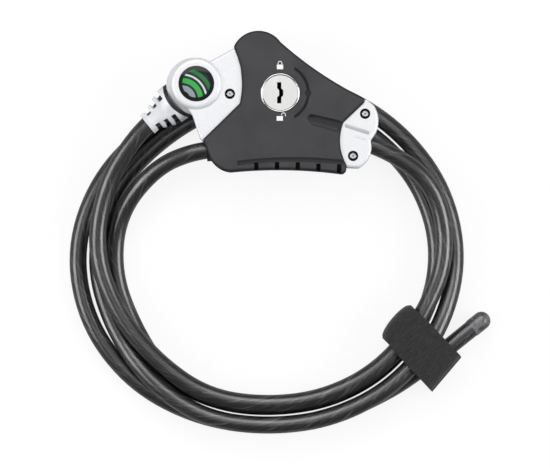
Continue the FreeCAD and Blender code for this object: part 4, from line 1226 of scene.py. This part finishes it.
def make_screw(node):
    centre = centre_of(node)
    middle = (centre.x, centre.y, CASTING_TOP - SCREW_HEIGHT / 2)
    screw = add_cylinder(node + "_head", 48, SCREW_RADIUS, SCREW_HEIGHT, middle)
    choose(screw, looks_up)
    bpy.ops.mesh.inset(thickness=RIM, depth=0.0)
    shift_up(-COUNTERBORE)
    bpy.ops.mesh.inset(thickness=SCREW_RADIUS - RIM - BUTTON_RADIUS, depth=0.0)
    shift_up(COUNTERBORE - BUTTON_EDGE)
    bpy.ops.mesh.inset(thickness=BUTTON_EDGE, depth=BUTTON_RISE)
    bpy.ops.mesh.inset(thickness=BUTTON_RADIUS - BUTTON_EDGE - HOLE_RADIUS, depth=0.0)
    shift_up(-COUNTERBORE / 2)
    return settle(screw, 30)


def paint_screw(screw, centre, button_metal, recess_shade):
    screw.data.materials.append(recess_shade)
    screw.data.materials.append(button_metal)
    for polygon in screw.data.polygons:
        flat = Vector((polygon.center.x - centre.x, polygon.center.y - centre.y))
        on_button = HOLE_RADIUS + WALL_MARGIN < flat.length < BUTTON_RADIUS
        polygon.material_index = int(on_button and polygon.center.z > CASTING_TOP - COUNTERBORE / 2)


# Painted shade: near-black metal for the rim, the counterbore and the hole
counterbore_shade = machined_metal("near_black_painted_shade", "#121213", 0.5)
for node in CASTING_SCREWS:
    head = make_screw(node)
    paint_screw(head, centre_of(node), zinc_plate, counterbore_shade)
    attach(head, "head")
    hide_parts(node)
print("screws", len(CASTING_SCREWS))

# %% [markdown]
# The bezel round the plug is a chromed ring with a round crown, which the CAD ring, being turned
# square, doesn't show. A torus gives the crown, and pulling its lower half down makes the sleeve.

# %% Bezel
BEZEL_INNER_RADIUS = 8.1 * MM
BELOW_MIDDLE = -0.01 * MM


def in_lower_half(vertex):
    return vertex.co.z < BELOW_MIDDLE


def make_bezel():
    start_clean()
    low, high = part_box("cylinder_bezel")
    outer = (high[0] - low[0]) / 2
    wall = outer - BEZEL_INNER_RADIUS
    bpy.ops.mesh.primitive_torus_add(major_segments=96, minor_segments=20, major_radius=outer - wall / 2,
                                     minor_radius=wall / 2, location=(KEY.x, KEY.y, high[2] - wall / 2))
    bezel = take_new("rounded_bezel")
    choose(bezel, in_lower_half, "verts")
    bpy.ops.transform.translate(value=(0, 0, low[2] - high[2] + wall))
    return settle(bezel, 40)


bezel = make_bezel()
bezel.data.materials.append(chrome)
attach(bezel, "head")
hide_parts("cylinder_bezel")
print("bezel faces", len(bezel.data.polygons))

# %% [markdown]
# By the cylinder, two small printed signs tell which way to turn: a closed padlock above and an
# open one below. They are plain signs of no maker's, pad-printed in white. Each is a thin film: a
# bar with bevelled corners for the body, and a flat curve for the shackle, whose outline follows an
# arch. The curve is made a mesh and joined to the body.

# %% Outline of a shackle
PRINT_FILM = 0.05 * MM
LOCKED_SIGN = Vector((9.5, 16.2, 0)) * MM
FREE_SIGN = Vector((9.4, -7.3, 0)) * MM
SIGN_BODY = (2.9 * MM, 2.1 * MM)
SIGN_CORNER = 0.35 * MM
SHACKLE_RADIUS = 0.85 * MM
SHACKLE_LINE = 0.3 * MM
SHACKLE_LEG = 0.7 * MM
# The open shackle's free leg is cut off by this share
OPEN_LEG = 0.4
SHACKLE_STEPS = 12
PRINT_GRAIN = 0.2 * MM


# A line up one leg, round the arch and down the other, with its width laid off to both sides
def shackle_outline(x, foot, free_foot):
    r, middle = SHACKLE_RADIUS, foot + SHACKLE_LEG
    turns = [math.pi * i / SHACKLE_STEPS for i in range(SHACKLE_STEPS + 1)]
    arch = [(x + r * math.cos(t), middle + r * math.sin(t)) for t in turns]
    line = [Vector(p) for p in [(x + r, foot)] + arch + [(x - r, free_foot)]]
    outer, inner = [], []
    for i, place in enumerate(line):
        along = (line[min(i + 1, len(line) - 1)] - line[max(i - 1, 0)]).normalized()
        side = Vector((along.y, -along.x)) * (SHACKLE_LINE / 2)
        outer.append((*(place + side), 0))
        inner.append((*(place - side), 0))
    return outer + inner[::-1]


# %% Printed padlock signs
def make_sign(name, place, shackle_shift):
    z = HEAD_TOP + PRINT_FILM / 2
    body = add_bar(name, (*SIGN_BODY, PRINT_FILM), (place.x, place.y, z))
    soften_edges(body, SIGN_CORNER, 4)
    bpy.ops.object.modifier_apply(modifier="soften")
    curve = bpy.data.curves.new(name + "_shackle", "CURVE")
    curve.dimensions = "2D"
    curve.fill_mode = "BOTH"
    curve.extrude = PRINT_FILM / 2
    foot = place.y + SIGN_BODY[1] / 2
    free_foot = foot + (SHACKLE_LEG * OPEN_LEG if shackle_shift else 0.0)
    outline = add_spline(curve, "POLY", shackle_outline(place.x + shackle_shift, foot, free_foot))
    outline.use_cyclic_u = True
    shackle = link_new(name + "_shackle", curve)
    shackle.location = (0, 0, z)
    activate(shackle)
    bpy.ops.object.convert(target="MESH")
    body.select_set(True)
    bpy.context.view_layer.objects.active = body
    bpy.ops.object.join()
    return settle(body, 30)


white_print = grained_surface("white_pad_print", "#d4d4d4", "#e2e2e2", 0.55, PRINT_GRAIN)
SIGNS = [("locked_sign", LOCKED_SIGN, 0.0), ("free_sign", FREE_SIGN, 2 * SHACKLE_RADIUS)]
for name, place, shackle_shift in SIGNS:
    sign = make_sign(name, place, shackle_shift)
    sign.data.materials.clear()
    sign.data.materials.append(white_print)
    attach(sign, "head")
print("signs", len(SIGNS))

# %% [markdown]
# Two low steps cross the outlet cover in line with the thumb groove. On the real part they are cast
# in. Here each is a cube that is scaled into a bar, whose upper edge on one side is pulled across
# to the other, so that the long slope that is left faces down the head. Both are painted a darker
# grey than the lacquer, the first the darker, as painted shade of those slopes.

# %% Ridges on the outlet cover
# Each row is a place, a length and a width
RIDGES = [(Vector((44.7, -12.3, 0)) * MM, 11.4 * MM, 1.7 * MM),
          (Vector((46.4, -16.2, 0)) * MM, 5.0 * MM, 1.1 * MM)]
RIDGE_HEIGHT = 0.7 * MM
RIDGE_HEADING = -18.0
RIDGE_CREST = 0.3 * MM
RIDGE_SOFTNESS = 0.18 * MM
RIDGE_SUNK = 0.02 * MM
SLOPE_GRAIN = 0.3 * MM


def on_slope_side(vertex):
    return vertex.co.y < 0 and vertex.co.z > 0


def make_ridge(name, place, length, width):
    height = RIDGE_HEIGHT * width / RIDGES[0][2]
    ridge = add_bar(name, (length, width, height))
    choose(ridge, on_slope_side, "verts")
    bpy.ops.transform.translate(value=(0, width - RIDGE_CREST, 0))
    bpy.ops.object.mode_set(mode="OBJECT")
    ridge.rotation_euler = (0, 0, math.radians(RIDGE_HEADING))
    ridge.location = (place.x, place.y, CASTING_TOP + height / 2 - RIDGE_SUNK)
    soften_edges(ridge, RIDGE_SOFTNESS, 3, 30)
    return settle(ridge, 60)


# Painted shade: the ridges' grey lacquer stands for the shade on their downward slopes
slope_shade_finish = grained_surface("lacquer_with_painted_slope_shade", "#a0a2a5", "#b4b6b9", 0.5, SLOPE_GRAIN)
light_slope_shade_finish = grained_surface("lacquer_with_light_painted_slope_shade", "#c4c5c8", "#d4d5d8", 0.5, SLOPE_GRAIN)
for i, (row, finish) in enumerate(zip(RIDGES, (slope_shade_finish, light_slope_shade_finish)), 1):
    ridge = make_ridge("outlet_ridge_" + str(i), *row)
    ridge.data.materials.append(finish)
    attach(ridge, "head")
print("ridges", len(RIDGES))

# %% [markdown]
# The camera looks straight down on the head from far enough away that the picture hardly narrows
# with height. One pixel of the photograph is 0.46 mm on the object.

# %% Camera
PICTURE_WIDTH_PX = 550
PICTURE_HEIGHT_PX = 468
MM_PER_PX = 0.46
HEAD_CENTRE_PX = (259.3, 103.4)
CAMERA_DISTANCE = 1.6
SENSOR_WIDTH = 36.0


def make_camera():
    data = bpy.data.cameras.new("camera")
    data.sensor_width = SENSOR_WIDTH
    data.lens = SENSOR_WIDTH * CAMERA_DISTANCE / (PICTURE_WIDTH_PX * MM_PER_PX * MM)
    data.clip_end = 10
    camera = link_new("camera", data)
    x = (PICTURE_WIDTH_PX / 2 - HEAD_CENTRE_PX[0]) * MM_PER_PX * MM
    y = (HEAD_CENTRE_PX[1] - PICTURE_HEIGHT_PX / 2) * MM_PER_PX * MM
    camera.location = (x, y, CAMERA_DISTANCE)
    bpy.context.scene.camera = camera
    return camera


camera = make_camera()
print("camera", [round(v, 4) for v in camera.location], "lens", round(camera.data.lens, 1))

# %% [markdown]
# A product picture like this has a pure white ground and broad soft light. A large softbox above
# and behind lays one grey band along each turn of the cable, a second one overhead whitens the flat
# metal, and a panel on each side gives the edges a form. The floor is white to the camera, but
# shiny parts see it darker, as if black cards stood round the object, which draws their outlines.

# %% Floor
# The share of the camera's view that is plain white, so that the rest still shows the shadow
FLOOR_GLOW = 0.86
FLOOR_SEEN_BY_GLOSS = 0.35


def make_floor():
    start_clean()
    bpy.ops.mesh.primitive_plane_add(size=8, location=(0, 0, FLOOR))
    floor = take_new("floor")
    material, tree, shader = start_material("white_ground", Roughness=0.9, Base_Color="#e6e6e6",
                                            Specular_IOR_Level=0.0)
    rays = add_node(tree, "LightPath")
    glow = add_node(tree, "Emission", {"Strength": 1.0})
    card = add_node(tree, "Emission", {"Color": colour(FLOOR_SEEN_BY_GLOSS), "Strength": 1.0})
    seen = add_node(tree, "Math", {"operation": "MULTIPLY", 1: FLOOR_GLOW},
                    {0: rays.outputs["Is Camera Ray"]})
    lit = add_node(tree, "MixShader", links={0: rays.outputs["Is Glossy Ray"], 1: shader.outputs["BSDF"],
                                             2: card.outputs["Emission"]})
    add_node(tree, "MixShader", None, {0: seen.outputs["Value"], 1: lit.outputs["Shader"],
                                       2: glow.outputs["Emission"]},
             {"Shader": tree.nodes["Material Output"].inputs["Surface"]})
    floor.data.materials.append(material)


make_floor()


# %% Lamps
LIT_POINT = Vector((0, -0.06, 0))
# Each row is a name, a place in metres, a width and a length, and a power in watts
LAMPS = [
    ("high_softbox", (-0.1, 0.85, 1.15), 1.2, 1.0, 11.5),
    ("overhead_softbox", (0.0, 0.02, 1.95), 0.75, 0.75, 1.8),
    ("left_panel", (-1.0, -0.1, 0.75), 0.9, 0.7, 8),
    ("right_panel", (1.0, -0.1, 0.75), 0.9, 0.7, 10),
]


def add_lamp(name, place, width, length, power):
    data = bpy.data.lights.new(name, "AREA")
    data.shape = "RECTANGLE"
    data.size = width
    data.size_y = length
    data.energy = power
    lamp = link_new(name, data)
    lamp.location = place
    lamp.rotation_euler = (LIT_POINT - Vector(place)).to_track_quat("-Z", "Y").to_euler()


for lamp in LAMPS:
    add_lamp(*lamp)
print("lamps", len(bpy.data.lights))

# %% World
WORLD_LIGHT = 0.44
WORLD_SEEN_BY_GLOSS = 0.12


def make_world():
    world = bpy.data.worlds.new("studio")
    bpy.context.scene.world = world
    world.use_nodes = True
    tree = world.node_tree
    background = tree.nodes["Background"]
    set_socket(background.inputs["Color"], "#f4f6f8")
    rays = add_node(tree, "LightPath")
    add_node(tree, "MapRange", {"To Min": WORLD_LIGHT, "To Max": WORLD_SEEN_BY_GLOSS},
             {"Value": rays.outputs["Is Glossy Ray"]}, {"Result": background.inputs["Strength"]})


make_world()
bpy.context.scene.view_settings.view_transform = "Standard"
